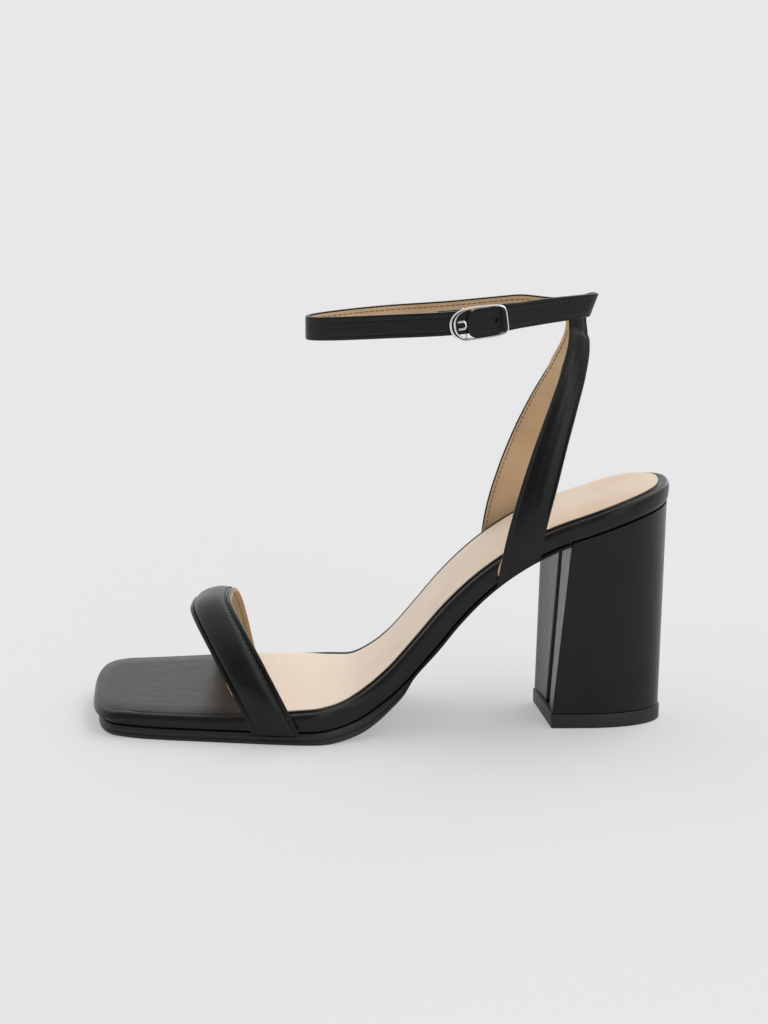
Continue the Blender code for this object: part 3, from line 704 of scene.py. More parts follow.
def round_corners(ring):
    """Softens the two breast corners, which are the ring's first and last places."""
    rounded = []
    for corner, side, across in ((ring[0], ring[1], ring[-1]), (ring[-1], ring[-2], ring[0])):
        start = corner + unit(across - corner) * HEEL_CORNER
        stop = corner + unit(side - corner) * HEEL_CORNER
        shares = np.linspace(0, 1, HEEL_CORNER_STEPS)
        rounded.append([(1 - t) ** 2 * start + 2 * t * (1 - t) * corner + t**2 * stop for t in shares])
    return rounded[0] + ring[1:-1] + rounded[1][::-1]


def breast_line(ring, level):
    """The slightly hollow breast from the ring's end to its start, with the gap of the cover's seam."""
    middle = 0.5 + 0.5 * BREAST_SEAM_Y
    half = mix(*BREAST_SEAM_HALF, level)
    gap = [(middle + half * side, depth) for side, depth in SEAM_SIDE]
    gap += [(middle - half * side, depth) for side, depth in reversed(SEAM_SIDE)]
    inner_panel = [(share, 0.0) for share in np.linspace(1.0, middle + half, BREAST_STEPS)[1:-1]]
    outer_panel = [(share, 0.0) for share in np.linspace(middle - half, 0.0, BREAST_STEPS)[1:-1]]
    places = []
    for share, depth in inner_panel + gap + outer_panel:
        hollow = 4 * BREAST_HOLLOW * share * (1 - share) + depth * BREAST_SEAM_DEPTH
        places.append(mix(ring[0], ring[-1], share) + np.array((hollow, 0.0)))
    return places


def heel_seat(x, level):
    """Height of the seat above a place on the heel's side at a level."""
    breast, back = heel_ends(level)
    return smooth(SOLE, "feather", mix(*heel_ends(0.0), (x - breast) / (back - breast)))


def build_heel(looks):
    points = []
    for step in range(HEEL_LEVELS + 1):
        level = step / HEEL_LEVELS
        outline = heel_ring(level)
        ring = outline + breast_line(outline, level)
        points += [(x, y, mix(heel_seat(x, level), HEEL_FOOT_Z, level)) for x, y in ring]
    size, outline_size = len(ring), len(outline)
    faces = ring_faces(HEEL_LEVELS + 1, size)
    for i in range(outline_size // 2 - 1):
        rungs = (i, i + 1, outline_size - 2 - i, outline_size - 1 - i)
        faces.append(rungs + tuple(range(outline_size, size)) if i == 0 else rungs)
    faces.append(tuple(range(HEEL_LEVELS * size, (HEEL_LEVELS + 1) * size)))
    add_piece("heel_cover", (points, faces), looks["leather"], "heel_block")
    lift = [[(x, y, row.z) for x, y in heel_ring(1.0, row.proud)] for row in LIFT_SECTION]
    add_piece("heel_wear_piece", capped(lift), looks["rubber"], "top_lift")


# Straps
def outward_sections(fronts, rears):
    """Adds to each pair of edge points the direction square to the strap's face."""
    along = np.gradient((np.array(fronts) + np.array(rears)) / 2, axis=0)
    edges = zip(fronts, rears, along)
    return [(front, rear, unit(np.cross(rear - front, way))) for front, rear, way in edges]


def strap_place(section, share, height):
    """A place on a strap, at a share across it and a height above its inner face."""
    front, rear, outward = section
    return mix(front, rear, share) + outward * height


def padded_height(share):
    """Toe strap: a narrow lip in front, a wider one behind, and a padded body between two grooves."""
    front, rear = (seam.share for seam in TOE_SEAMS)
    lip = TOE_LIP * ease(min(share, 1 - share), *TOE_LIP_EDGE)
    groove = sum(seam.depth * bell(share - seam.share, seam.width) for seam in TOE_SEAMS)
    across = (2 * share - front - rear) / (rear - front)
    swell = TOE_SWELL * max(0.0, 1 - abs(across) ** TOE_SWELL_FLATNESS) ** TOE_SWELL_ROUNDNESS
    return lip - groove + swell


def flat_height(share):
    """Heel straps: a slight crown with a groove at each seam."""
    edge = min(share, 1 - share)
    lip = FLAT_LIP * ease(edge, *FLAT_LIP_EDGE)
    groove = HEEL_SEAM_DEPTH * bell(edge - HEEL_SEAM, HEEL_SEAM_WIDTH)
    return lip - groove + (FLAT_THICK - FLAT_LIP) * ease(edge, HEEL_SEAM, FLAT_CROWN)


def band_height(share):
    """Ankle strap: flat, with rounded edges and a groove at each seam."""
    edge = min(share, 1 - share)
    lip = ANKLE_THICK * mix(ANKLE_EDGE, 1, ease(edge, 0.0, ANKLE_EDGE_WIDTH))
    return lip - ANKLE_SEAM_DEPTH * bell(edge - ANKLE_SEAM, ANKLE_SEAM_WIDTH)


def fold_depth(folds, place, share):
    """Depth of the soft folds across a strap, at a place along it and a share across it."""
    return sum(fold.depth * bell(place - mix(fold.front, fold.rear, share), fold.width) for fold in folds)


def strap_leather(sections, height, columns, folds=()):
    """A strap's leather: its outer face, painted edges and the back it is lined on."""
    shares = [0.5 - 0.5 * cos(pi * i / columns) for i in range(columns + 1)]
    back = LINING_THICK + LINING_GAP
    rings = []
    for index, section in enumerate(sections):
        place = index / (len(sections) - 1)
        ring = []
        for share in shares:
            thick = max(height(share) - fold_depth(folds, place, share), back + LEAST_LEATHER)
            ring.append(strap_place(section, share, thick))
        rings.append(ring + [strap_place(section, share, back) for share in (1.0, 0.5, 0.0)])
    return capped(rings)


def strap_lining(sections, lining):
    """A strap's lining, between edges that move as its row of the table says."""
    rings = []
    for index, section in enumerate(sections):
        place = index / (len(sections) - 1)
        out = lining.low_out * hump(place, *lining.low) + lining.top_out * ease(place, *lining.top)
        rear = lining.rear + lining.rear_out * ease(place, *lining.behind)
        shares = np.linspace(lining.front - out, rear, LINING_COLUMNS + 1)
        ring = [strap_place(section, share, LINING_THICK) for share in shares]
        rings.append(ring + [strap_place(section, share, 0.0) for share in shares[::-1]])
    return capped(rings)


def seam_track(sections, share, height):
    """A seam's line along a strap: places, and the way out from the surface."""
    places = [strap_place(section, share, height) for section in sections]
    return np.array(places), np.array([unit(section[2]) for section in sections])


def stitch_template():
    """One stitch as a small pod, in places (along, across, up), each from -1 to 1."""
    ring = circle(STITCH_SIDES)
    return capped([[(row.along, row.girth * c, row.girth * s) for c, s in ring] for row in STITCH_RINGS])


def add_stitches(name, tracks, look, stitch=FINE_STITCH):
    """All stitches along some seams, as one mesh."""
    template, template_faces = stitch_template()
    points, faces = [], []
    for places, ways in tracks:
        reach = reach_along(places)
        for at in np.arange(stitch.pitch, reach[-1] - stitch.pitch / 2, stitch.pitch):
            i = min(int(np.searchsorted(reach, at)), len(reach) - 1)
            centre = mix(places[i - 1], places[i], (at - reach[i - 1]) / (reach[i] - reach[i - 1]))
            along = unit(places[i] - places[i - 1])
            up = unit(ways[i] - along * np.dot(ways[i], along))
            across = np.cross(up, along)
            base = len(points)
            for a, c, u in template:
                offset = (across * c + up * u) * stitch.radius
                points.append(centre + along * a * stitch.length / 2 + offset)
            faces += [tuple(base + corner for corner in face) for face in template_faces]
    add_piece(name, (points, faces), look)


def end_fullness(steps_from_end, run):
    """The share of a strap's thickness that is left near its lasted end."""
    return mix(STRAP_END_FULLNESS, 1, ease(steps_from_end, 0, run))


def crest(run):
    """A straight run from 0 at the sole to 1 at the peak, with a soft turn there."""
    soft = (1 + TOE_CREST**2) ** 0.5 - TOE_CREST
    return 1 - (((1 - run) ** 2 + TOE_CREST**2) ** 0.5 - TOE_CREST) / soft


def toe_edge(edge):
    """One edge of the toe strap's inner face, from the outer side over the toes to the inner side."""
    points = []
    for step in range(TOE_STEPS + 1):
        angle = pi * step / TOE_STEPS
        side = "medial" if step > TOE_STEPS / 2 else "lateral"
        base_x = getattr(edge, f"{side}_x")
        reach = side_reach(base_x, side) + TOE_STAND_OFF
        base_y = reach if side == "medial" else -reach
        base_z = smooth(SOLE, "feather", base_x) + CLEAR
        out = abs(cos(angle)) ** (2 / TOE_ARCH[side])
        up = abs(sin(angle)) ** (2 / TOE_ARCH[side])
        forward = crest((1 - TOE_INWARD) * up + TOE_INWARD * (1 - out)) ** TOE_LEAN[side]
        x = mix(base_x, edge.peak_x, forward)
        points.append(np.array((x, mix(TOE_PEAK_Y, base_y, out), mix(base_z, edge.peak_z, up))))
    return points


def build_toe_strap(looks):
    sections = []
    edges = outward_sections(toe_edge(TOE_FRONT), toe_edge(TOE_REAR))
    for step, (front, rear, outward) in enumerate(edges):
        full = end_fullness(min(step, TOE_STEPS - step), TOE_END_STEPS)
        sections.append((front, rear, outward * full))
    leather = strap_leather(sections, padded_height, TOE_COLUMNS, TOE_FOLDS)
    strap = add_piece("toe_strap_leather", leather, looks["leather"], "toe_strap")
    add_piece("toe_strap_lining", strap_lining(sections, TOE_LINING), looks["lining"])
    seams = (
        ("toe_strap_stitches", TOE_REAR_STITCH, BOLD_STITCH),
        ("toe_strap_front_stitches", TOE_SEAMS[0].share, FINE_STITCH),
    )
    for name, share, stitch in seams:
        track = seam_track(sections, share, padded_height(share) + TOE_STITCH_PROUD)
        add_stitches(name, [track], looks["black_thread"], stitch)
    inner = [seam_track(sections, seam.share, LINING_STITCH_PROUD) for seam in TOE_SEAMS]
    add_stitches("toe_lining_stitches", inner, looks["brown_thread"])


def ankle_half(x):
    """Half the width of the ankle loop's middle line at a place along it."""
    along = (x - ANKLE_MID_X) / ANKLE_HALF_LENGTH
    power = mix(*ANKLE_POWER, 0.5 + 0.5 * along)
    return ANKLE_HALF_WIDTH * max(1 - along**2, 0.0) ** (power / 2)


def curve_through(points, steps):
    """Even steps along a smooth curve through a few points."""
    points = np.array(points)
    reach = reach_along(points)
    columns = []
    for axis in range(3):
        rows = table("t value", *zip(reach, points[:, axis]))
        columns.append([smooth(rows, "value", reach[-1] * step / steps) for step in range(steps + 1)])
    return [np.array(point) for point in zip(*columns)]


def heel_strap_edge(side, mirror):
    """One edge of a heel strap's outer face, from the sole to the top of the tab."""
    inner = mirror > 0
    base_x = HEEL_BASE_X[side] - (HEEL_BASE_FORWARD if inner else 0.0)
    reach = side_reach(base_x, "medial" if inner else "lateral")
    base_y = reach + CLEAR + STRAP_END_FULLNESS * FLAT_THICK
    points = [(base_x, mirror * base_y, smooth(SOLE, "feather", base_x))]
    for row in HEEL_STRAP:
        x, y, z = (getattr(row, f"{side}_{axis}") for axis in "xyz")
        points.append((x - (row.forward if inner else 0.0), mirror * y, z))
    tab_x = HEEL_TAB_X[side]
    inside = ankle_half(tab_x) - ANKLE_THICK / 2 - CLEAR
    tab_y = inside if side == "front" else HEEL_TAB_REAR_Y
    points += [(tab_x, mirror * tab_y, z) for z in HEEL_TAB_Z]
    return curve_through(points, HEEL_STEPS)


def heel_sections(mirror):
    """Sections of one heel strap; the table gives its outer face, so it is thick inwards."""
    sections = []
    edges = outward_sections(heel_strap_edge("front", mirror), heel_strap_edge("rear", mirror))
    for step, (front, rear, outward) in enumerate(edges):
        outward = outward * -mirror * end_fullness(step, HEEL_END_STEPS)
        sections.append((front - outward * FLAT_THICK, rear - outward * FLAT_THICK, outward))
    return sections


def combine(base, extra, operation):
    """Unites a second object with the first, or cuts it out of the first, and removes it."""
    step = base.modifiers.new("combine", "BOOLEAN")
    step.operation = operation
    step.object = extra
    graph = bpy.context.evaluated_depsgraph_get()
    mesh = bpy.data.meshes.new_from_object(base.evaluated_get(graph))
    base.modifiers.remove(step)
    base.data = mesh
    bpy.data.objects.remove(extra, do_unlink=True)
    return base


def build_heel_straps(looks):
    straps, outer, inner = [], [], []
    for side, mirror in (("outer", -1.0), ("inner", 1.0)):
        sections = heel_sections(mirror)
        leather = strap_leather(sections, flat_height, HEEL_COLUMNS, HEEL_FOLDS)
        straps.append(add_piece(f"{side}_heel_strap", leather, looks["leather"]))
        lined = sections[: int(HEEL_LINED * len(sections))]
        add_piece(f"{side}_heel_strap_lining", strap_lining(lined, HEEL_LINING), looks["lining"])
        for share in (HEEL_SEAM, 1 - HEEL_SEAM):
            outer.append(seam_track(lined, share, flat_height(share) + STITCH_PROUD))
        inner.append(seam_track(lined, HEEL_SEAM, LINING_STITCH_PROUD))
        rear = lined[: int(HEEL_REAR_SEAM * len(lined))]
        inner.append(seam_track(rear, 1 - HEEL_SEAM, LINING_STITCH_PROUD))
    straps[0].name = "heel_straps_leather"
    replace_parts(combine(*straps, "UNION"), "heel_straps")
    add_stitches("heel_strap_stitches", outer, looks["thread"])
    add_stitches("heel_lining_stitches", inner, looks["brown_thread"])


def loop_places():
    """The ankle loop's middle line from above, from the buckle forwards, round and back."""
    start = np.arccos((ANKLE_MID_X - BAR_X) / ANKLE_HALF_LENGTH)
    places = []
    for step in range(1, 2 * ANKLE_STEPS):
        turn = start - pi * step / ANKLE_STEPS
        x = ANKLE_MID_X - ANKLE_HALF_LENGTH * cos(turn)
        places.append((x, -ankle_half(x) if sin(turn) > 0 else ankle_half(x)))
    return places


def fold_places():
    """The strap's end folded round the bar: the inner layer, then half a turn."""
    radius = BAR_RADIUS + CLEAR + ANKLE_THICK / 2
    bar_y = radius - ankle_half(BAR_X)
    turns = [pi * step / (FOLD_STEPS + 1) for step in range(1, FOLD_STEPS + 1)]
    xs = np.linspace(BAR_X - FOLD_LENGTH, BAR_X, FOLD_STEPS)
    places = [(x, -ankle_half(x) + 2 * radius) for x in xs]
    places += [(BAR_X + radius * sin(turn), bar_y + radius * cos(turn)) for turn in turns]
    return places + [(BAR_X, -ankle_half(BAR_X))]


def tip_places():
    """The strap's free end: lifted over the fold inside the buckle, up to its tip."""
    lift = ANKLE_THICK + CLEAR
    xs = (*np.arange(TIP_LIFT_FROM_X, TIP_X, -TIP_STEP), TIP_X)
    return [(x, -ankle_half(x) - lift * ease(-x, -TIP_LIFT_FROM_X, -TIP_LIFT_TO_X)) for x in xs]


def ankle_sections():
    keep = [p for p in loop_places() if not (p[1] < 0 and BAR_X - BAR_RADIUS < p[0] < TIP_LIFT_FROM_X)]
    fold = fold_places()
    folded = fold + keep
    fronts, rears = [], []
    for index, (x, y) in enumerate(folded + tip_places()):
        to_tip = (x - TIP_X) / TIP_ROUND_LENGTH if index >= len(folded) else 1.0
        round_off = 1 - max(0.0, 1 - max(0.0, 1 - to_tip) ** 2) ** 0.5
        free_end = index >= len(fold) and y < 0 and x > BAR_X
        tall = smooth(FREE_END_TALL, "tall", x) if free_end else ANKLE_TALL
        half = tall / 2 * (1 - TIP_TAPER * round_off)
        lean = ANKLE_BACK_LEAN * min(max((x - ANKLE_LEAN_FROM_X) / ANKLE_LEAN_RUN, 0.0), 1.0)
        middle = smooth(ANKLE_RISE, "z", x)
        if free_end:
            middle -= FREE_END_DROP * (1 - ease(x, TIP_LIFT_TO_X, TIP_LIFT_FROM_X))
        elif y > 0:
            middle -= INNER_DIP * hump(x, *INNER_DIP_X)
        fronts.append(np.array((x - lean * half, y, middle - half)))
        rears.append(np.array((x + lean * half, y, middle + half)))
    sections = []
    for front, rear, outward in outward_sections(fronts, rears):
        shift = outward * ANKLE_THICK / 2
        sections.append((front - shift, rear - shift, outward))
    return sections


def near_section(sections, x):
    """The outer side's section nearest to a place along the shoe, in the last layer that lies there."""
    near = [section for section in sections if section[0][1] < 0]
    return min(reversed(near), key=lambda section: abs(section[0][0] + section[1][0] - 2 * x))


def hole_cutter(sections, look):
    """A short round bar in the free end's outer face, where the strap has its hole."""
    front, rear, outward = near_section(sections, HOLE_X)
    up = unit(rear - front)
    along = np.cross(up, outward)
    rings = []
    for height in (HOLE_FLOOR, ANKLE_THICK + HOLE_CUT_PROUD):
        centre = (front + rear) / 2 + outward * height
        rings.append([centre + HOLE_RADIUS * (up * c + along * s) for c, s in circle(WIRE_SIDES)])
    return add_piece("hole_cutter", capped(rings), look)


def end_seam(sections, x):
    """A seam across the outer side of the strap."""
    section = near_section(sections, x)
    places = [strap_place(section, share, band_height(share) + STITCH_PROUD) for share in END_SEAM_SHARES]
    return np.array(places), np.array([section[2]] * len(places))


def build_ankle_strap(looks):
    sections = ankle_sections()
    leather = strap_leather(sections, band_height, ANKLE_COLUMNS)
    strap = add_piece("ankle_strap_leather", leather, looks["leather"], "ankle_strap")
    combine(strap, hole_cutter(sections, looks["leather"]), "DIFFERENCE")
    add_piece("ankle_strap_lining", strap_lining(sections, ANKLE_LINING), looks["lining"])
    shares = (ANKLE_SEAM, 1 - ANKLE_SEAM)
    outer = [seam_track(sections, share, band_height(share) + STITCH_PROUD) for share in shares]
    outer += [end_seam(sections, x) for x in (*END_SEAM_X, TIP_SEAM_X)]
    add_stitches("ankle_strap_stitches", outer, looks["grey_thread"])
    inner = [seam_track(sections, share, LINING_STITCH_PROUD) for share in shares]
    add_stitches("ankle_lining_stitches", inner, looks["brown_thread"])


# Buckle
def buckle_place(x, height, depth):
    """A place on the buckle: along the strap, across it, and out from the frame's middle plane."""
    middle = smooth(ANKLE_RISE, "z", BAR_X) - BUCKLE_DROP + BUCKLE_SLOPE * (x - BAR_X)
    plane = -ankle_half(BAR_X) - BUCKLE_OFFSET
    return np.array((x - BUCKLE_SLOPE * height, plane - depth, middle + height))


def lower_rail_share(x):
    """Share of its height that is left to the lower rail, which is drawn up to the right."""
    return 1 - LOWER_RAIL_RAISE * ease(x, *LOWER_RAIL_X)


def frame_line(step):
    """The frame's outer line, with a half round left end and a right end with corners."""
    angle = 2 * pi * step / BUCKLE_STEPS
    half_long = (BUCKLE_RIGHT_X - BUCKLE_LEFT_X) / 2
    left = cos(angle) < 0
    squareness = BUCKLE_ROUND_END if left else BUCKLE_SQUARE_END
    x = abs(cos(angle)) ** (2 / squareness) * half_long * (-1 if left else 1)
    half_tall = BUCKLE_HALF_TALL * (1 - BUCKLE_TAPER * (0.5 + 0.5 * x / half_long))
    height = abs(sin(angle)) ** (2 / squareness) * half_tall * (1 if sin(angle) >= 0 else -1)
    x += (BUCKLE_LEFT_X + BUCKLE_RIGHT_X) / 2
    if height < 0:
        height *= lower_rail_share(x)
    return x, height, max(0.0, -cos(angle))


def build_buckle(looks):
    line = [frame_line(step) for step in range(BUCKLE_STEPS)]
    flat = np.array([(x, height) for x, height, _ in line])
    points, painted_shade_points = [], []
    for index, (x, height, endness) in enumerate(line):
        along = unit(flat[(index + 1) % BUCKLE_STEPS] - flat[index - 1])
        out = np.array((along[1], -along[0]))
        rail = mix(BUCKLE_RAIL, BUCKLE_END_RAIL, endness**2)
        for across, up in circle(FRAME_SIDES):
            cut = BUCKLE_GROOVE * bell(across, BUCKLE_GROOVE_WIDTH) if up > 0 else 0.0
            groove = cut * ease(endness, *BUCKLE_GROOVE_END)
            painted_shade_points.append(groove > GROOVE_PAINTED_SHADE_DEPTH)
            spot = np.array((x, height)) + out * rail * (across - 1)
            points.append(buckle_place(spot[0], spot[1], BUCKLE_DEPTH * up * (1 - groove)))
    faces = ring_faces(BUCKLE_STEPS, FRAME_SIDES, closed=True)
    buckle = add_piece("buckle_frame_plated", (points, faces), looks["metal"])
    # The faces deep in the groove get a dark plating: painted shade in the groove
    buckle.data.materials.append(looks["groove"].material)
    for face in buckle.data.polygons:
        face.material_index = int(all(painted_shade_points[corner] for corner in face.vertices))
    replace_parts(combine(buckle, build_bar(looks["metal"]), "UNION"), "buckle_frame")


def wire(name, centres, radius, square_to, look, node=None):
    """A round wire through a few places that lie in one plane, with flat ends."""
    rings = []
    for centre, way in zip(centres, np.gradient(np.array(centres), axis=0)):
        second = unit(np.cross(unit(way), square_to))
        rings.append([centre + radius * (square_to * c + second * s) for c, s in circle(WIRE_SIDES)])
    return add_piece(name, capped(rings), look, node)


def build_bar(look):
    """The bar that carries the strap's fold, set back on two arms that end in the frame's rails."""
    deep = -(BUCKLE_OFFSET + BAR_RADIUS + CLEAR + ANKLE_THICK / 2)
    upper = ((BAR_ARM, BAR_ARM_END), (BAR_ARM, deep * BAR_ARM_DEPTH), (BAR_ARM * BAR_BEND_HEIGHT, deep))
    lower = [(-height, depth) for height, depth in reversed(upper[1:])]
    lower.append((-BAR_ARM * lower_rail_share(BAR_X), BAR_ARM_END))
    route = [buckle_place(BAR_X, height, depth) for height, depth in (*upper, (0.0, deep), *lower)]
    return wire("buckle_bar", route, BAR_RADIUS, unit(np.array((1.0, 0.0, BUCKLE_SLOPE))), look)


def build_prong(looks):
    """A wire hairpin that lies on the strap between the frame's round end and the strap's tip."""
    start = BUCKLE_LEFT_X + 2 * BUCKLE_END_RAIL + CLEAR + PRONG_RADIUS
    depth = -BUCKLE_OFFSET + ANKLE_THICK / 2 + CLEAR + PRONG_RADIUS
    half = PRONG_HALF_WIDTH
    bend_x = start + PRONG_LENGTH - half - 2 * PRONG_RADIUS
    angles = [pi * step / PRONG_STEPS for step in range(PRONG_STEPS + 1)]
    bend = [(bend_x + half * sin(angle), half * cos(angle)) for angle in angles]
    route = [buckle_place(x, height, depth) for x, height in ((start, half), *bend, (start, -half))]
    square_to = np.array((0.0, 1.0, 0.0))
    wire("buckle_prong_plated", route, PRONG_RADIUS, square_to, looks["metal"], "buckle_prong")


# Finishes
def shader_socket(material, name):
    return material.node_tree.nodes["Principled BSDF"].inputs[name]


def grey(value):
    return value, value, value


def new_material(name, colour, roughness, **values):
    """A Principled material; values are other sockets that are the same all over."""
    material = bpy.data.materials.new(name)
    material.use_nodes = True
    shader_socket(material, "Base Color").default_value = (*colour, 1.0)
    shader_socket(material, "Roughness").default_value = roughness
    for socket, value in values.items():
        shader_socket(material, socket.replace("_", " ")).default_value = value
    return material


def add_node(owner, kind, **values):
    """A node of a kind, with its attributes or sockets set by name."""
    node = owner.node_tree.nodes.new("ShaderNode" + kind)
    for key, value in values.items():
        if hasattr(node, key):
            setattr(node, key, value)
        else:
            node.inputs[key.replace("_", " ")].default_value = value
    return node


def link(output, socket):
    output.id_data.links.new(output, socket)


def map_range(owner, output, start=(0.0, 1.0), to=(0.0, 1.0)):
    """A node that maps a value from one range to another."""
    low, high = to
    node = add_node(owner, "MapRange", From_Min=start[0], From_Max=start[1], To_Min=low, To_Max=high)
    link(output, node.inputs["Value"])
    return node


def calculate(owner, operation, first, second):
    node = add_node(owner, "Math", operation=operation)
    link(first.outputs["Result"], node.inputs[0])
    link(second, node.inputs[1])
    return node.outputs["Value"]


def shoe_coordinates(material):
    return add_node(material, "TexCoord").outputs["Object"]


def noise(material, scale, detail=3.0, stretch=None):
    """A noise texture in the shoe's own coordinates; stretch squeezes it along each axis."""
    node = add_node(material, "TexNoise", Scale=scale, Detail=detail)
    place = shoe_coordinates(material)
    if stretch:
        mapping = add_node(material, "Mapping", Scale=stretch)
        link(place, mapping.inputs["Vector"])
        place = mapping.outputs["Vector"]
    link(place, node.inputs["Vector"])
    return node.outputs["Fac"]


def cells(material, scale):
    node = add_node(material, "TexVoronoi", feature="SMOOTH_F1", Scale=scale)
    link(shoe_coordinates(material), node.inputs["Vector"])
    return node.outputs["Distance"]


def add_bumps(material, *bumps):
    """Bumps one over the other; each is (texture node's output, depth in millimetres, strength)."""
    normal = None
    for output, depth, strength in bumps:
        bump = add_node(material, "Bump", Distance=depth * MM, Strength=strength)
        link(output, bump.inputs["Height"])
        if normal:
            link(normal, bump.inputs["Normal"])
        normal = bump.outputs["Normal"]
    link(normal, shader_socket(material, "Normal"))


def roughen(material, scale, roughness):
    """Roughness that varies over a range with a noise."""
    spread = map_range(material, noise(material, scale), to=roughness)
    link(spread.outputs["Result"], shader_socket(material, "Roughness"))


def tint(material, output, *colours):
    """Maps a texture to a colour between a dark and a light one."""
    ramp = add_node(material, "ValToRGB")
    for element, position, colour in zip(ramp.color_ramp.elements, TINT_RANGE, colours):
        element.position = position
        element.color = (*colour, 1.0)
    link(output, ramp.inputs["Fac"])
    link(ramp.outputs["Color"], shader_socket(material, "Base Color"))


def black_leather(name, roughness, specular, drawn=0.0):
    """Grained leather; `drawn` adds fine lines along the shoe, where it is drawn over the toe."""
    material = new_material(name, grey(0.005), 0.34, Specular_IOR_Level=specular)
    roughen(material, 260.0, roughness)
    tint(material, noise(material, 90.0), grey(0.0035), (0.0075, 0.0075, 0.0072))
    bumps = [
        (cells(material, 1900.0), 0.12, 0.22),
        (noise(material, 420.0), 0.20, 0.18),
        (noise(material, 70.0), 0.60, 0.12),
    ]
    if drawn:
        bumps.append((noise(material, 620.0, 4.0, stretch=(0.09, 1.0, 0.5)), 0.10, drawn))
    add_bumps(material, *bumps)
    return material


def sole_rubber():
    material = new_material("black sole rubber", (0.011, 0.011, 0.0115), 0.48, Specular_IOR_Level=0.45)
    roughen(material, 300.0, (0.42, 0.56))
    scuffs = noise(material, 500.0, stretch=(0.15, 0.15, 1.0))
    add_bumps(material, (noise(material, 1500.0), 0.08, 0.25), (scuffs, 0.10, 0.15))
    return material


def sock_leather():
    material = new_material("beige sock lining", (0.78, 0.64, 0.52), 0.55, Specular_IOR_Level=0.3)
    # The sock's tint runs darker and tanner from the forefoot to the heel seat, a painted reflection,
    # mixed with a random tone
    split = add_node(material, "SeparateXYZ")
    link(shoe_coordinates(material), split.inputs["Vector"])
    painted_reflection = map_range(material, split.outputs["X"], PAINTED_REFLECTION_X, PAINTED_REFLECTION)
    tone_and_painted_reflection = calculate(material, "ADD", painted_reflection, noise(material, 28.0))
    tint(material, tone_and_painted_reflection, (0.73, 0.56, 0.42), (0.81, 0.675, 0.55))
    add_bumps(material, (cells(material, 1600.0), 0.08, 0.15), (noise(material, 240.0), 0.15, 0.10))
    return material


def strap_lining_leather():
    material = new_material("tan strap lining", (0.62, 0.45, 0.30), 0.62, Specular_IOR_Level=0.25)
    tint(material, noise(material, 38.0, 4.0), (0.54, 0.365, 0.205), (0.71, 0.525, 0.33))
    add_bumps(material, (noise(material, 900.0, 4.0), 0.10, 0.30), (cells(material, 1500.0), 0.08, 0.18))
    return material


def thread(name, dark, light, roughness):
    material = new_material(name, light, roughness, Sheen_Weight=0.15)
    tint(material, noise(material, 2500.0), dark, light)
    add_bumps(material, (noise(material, 3200.0), 0.06, 0.5))
    return material


def plated_metal(name, dark, light, roughness):
    material = new_material(name, light, roughness[0], Metallic=1.0)
    tint(material, noise(material, 120.0), dark, light)
    roughen(material, 700.0, roughness)
    add_bumps(material, (noise(material, 160.0), 0.08, 0.08))
    return material


def all_looks():
    """Each material by name, with the slot it fills."""
    slots = {
        "black_leather": {
            "leather": black_leather("black leather", (0.23, 0.36), 0.28),
            "drawn_leather": black_leather("black leather over the sole", (0.27, 0.40), 0.30, drawn=0.35),
            "thread": thread("dark thread", grey(0.004), grey(0.012), 0.55),
            "black_thread": thread("black thread", grey(0.002), grey(0.006), 0.7),
            "grey_thread": thread("grey thread", grey(0.006), grey(0.018), 0.6),
        },
        "sole_rubber": {"rubber": sole_rubber()},
        "beige_lining": {
            "sock": sock_leather(),
            "lining": strap_lining_leather(),
            "brown_thread": thread("brown thread", (0.09, 0.045, 0.02), (0.17, 0.09, 0.045), 0.7),
        },
        "plated_metal": {
            "metal": plated_metal("bright plating", (0.74, 0.72, 0.68), (0.82, 0.81, 0.79), (0.09, 0.19)),
            # Dark plating for the groove: painted shade, not the metal's own colour
            "groove": plated_metal("dark plating painted as shade in the groove", grey(0.05), grey(0.10), (0.3, 0.45)),
        },
    }
    looks = {}
    for slot, materials in slots.items():
        looks.update({name: Look(material, slot) for name, material in materials.items()})
    return looks


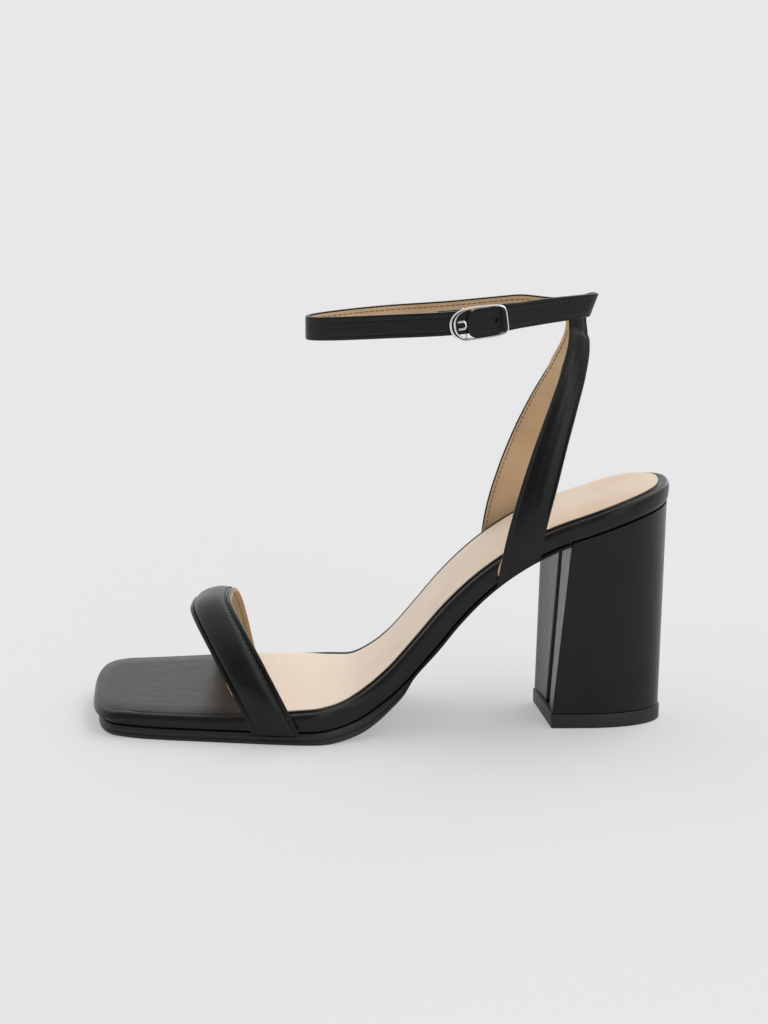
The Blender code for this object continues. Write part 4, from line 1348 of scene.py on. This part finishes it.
# Light, floor and camera
def build_floor():
    corners = [(x * FLOOR_HALF, y * FLOOR_HALF, 0) for x, y in ((-1, -1), (1, -1), (1, 1), (-1, 1))]
    mesh = bpy.data.meshes.new("floor")
    mesh.from_pydata(corners, [], [(0, 1, 2, 3)])
    floor = bpy.data.objects.new("floor", mesh)
    bpy.context.scene.collection.objects.link(floor)
    pale = new_material("pale lit table", grey(FLOOR_COLOUR), 0.9, Specular_IOR_Level=0.0,
                        Emission_Color=(1.0, 1.0, 1.0, 1.0), Emission_Strength=FLOOR_GLOW)
    mesh.materials.append(pale)


def build_sky():
    """Soft light, dim from the front, with a bright strip to the right and the floor's light low down."""
    world = bpy.data.worlds.new("studio")
    bpy.context.scene.world = world
    world.use_nodes = True
    background = world.node_tree.nodes["Background"]
    background.inputs["Color"].default_value = (1.0, 1.0, 1.0, 1.0)
    split = add_node(world, "SeparateXYZ")
    link(add_node(world, "TexCoord").outputs["Generated"], split.inputs["Vector"])
    x, y, z = split.outputs
    front = map_range(world, y, SKY_FRONT_Y, (SKY_FRONT, SKY_BRIGHT))
    near = map_range(world, x, STRIP_X[:2], (0.0, STRIP_BRIGHT))
    far = map_range(world, x, (STRIP_X[2], STRIP_X[1]))
    strip = calculate(world, "MULTIPLY", near, far.outputs["Result"])
    band = map_range(world, z, (0.0, HORIZON_BAND), (HORIZON, 1.0))
    link(calculate(world, "ADD", front, strip), band.inputs["To Max"])
    link(band.outputs["Result"], background.inputs["Strength"])


def build_camera():
    lens = bpy.data.cameras.new("camera")
    lens.sensor_width = CAMERA_SENSOR
    lens.lens = CAMERA_LENS
    camera = bpy.data.objects.new("camera", lens)
    camera.location = (-ORIGIN_X * MM, (CAMERA_Y - ORIGIN_Y) * MM, CAMERA_Z * MM)
    camera.rotation_euler = (radians(90.0 - CAMERA_PITCH), 0.0, 0.0)
    bpy.context.scene.collection.objects.link(camera)
    bpy.context.scene.camera = camera


def main():
    build_camera()
    build_floor()
    build_sky()
    bpy.context.scene.view_settings.view_transform = "Standard"
    looks = all_looks()
    build_sole(looks)
    build_heel(looks)
    build_toe_strap(looks)
    build_heel_straps(looks)
    build_ankle_strap(looks)
    build_buckle(looks)
    build_prong(looks)


main()
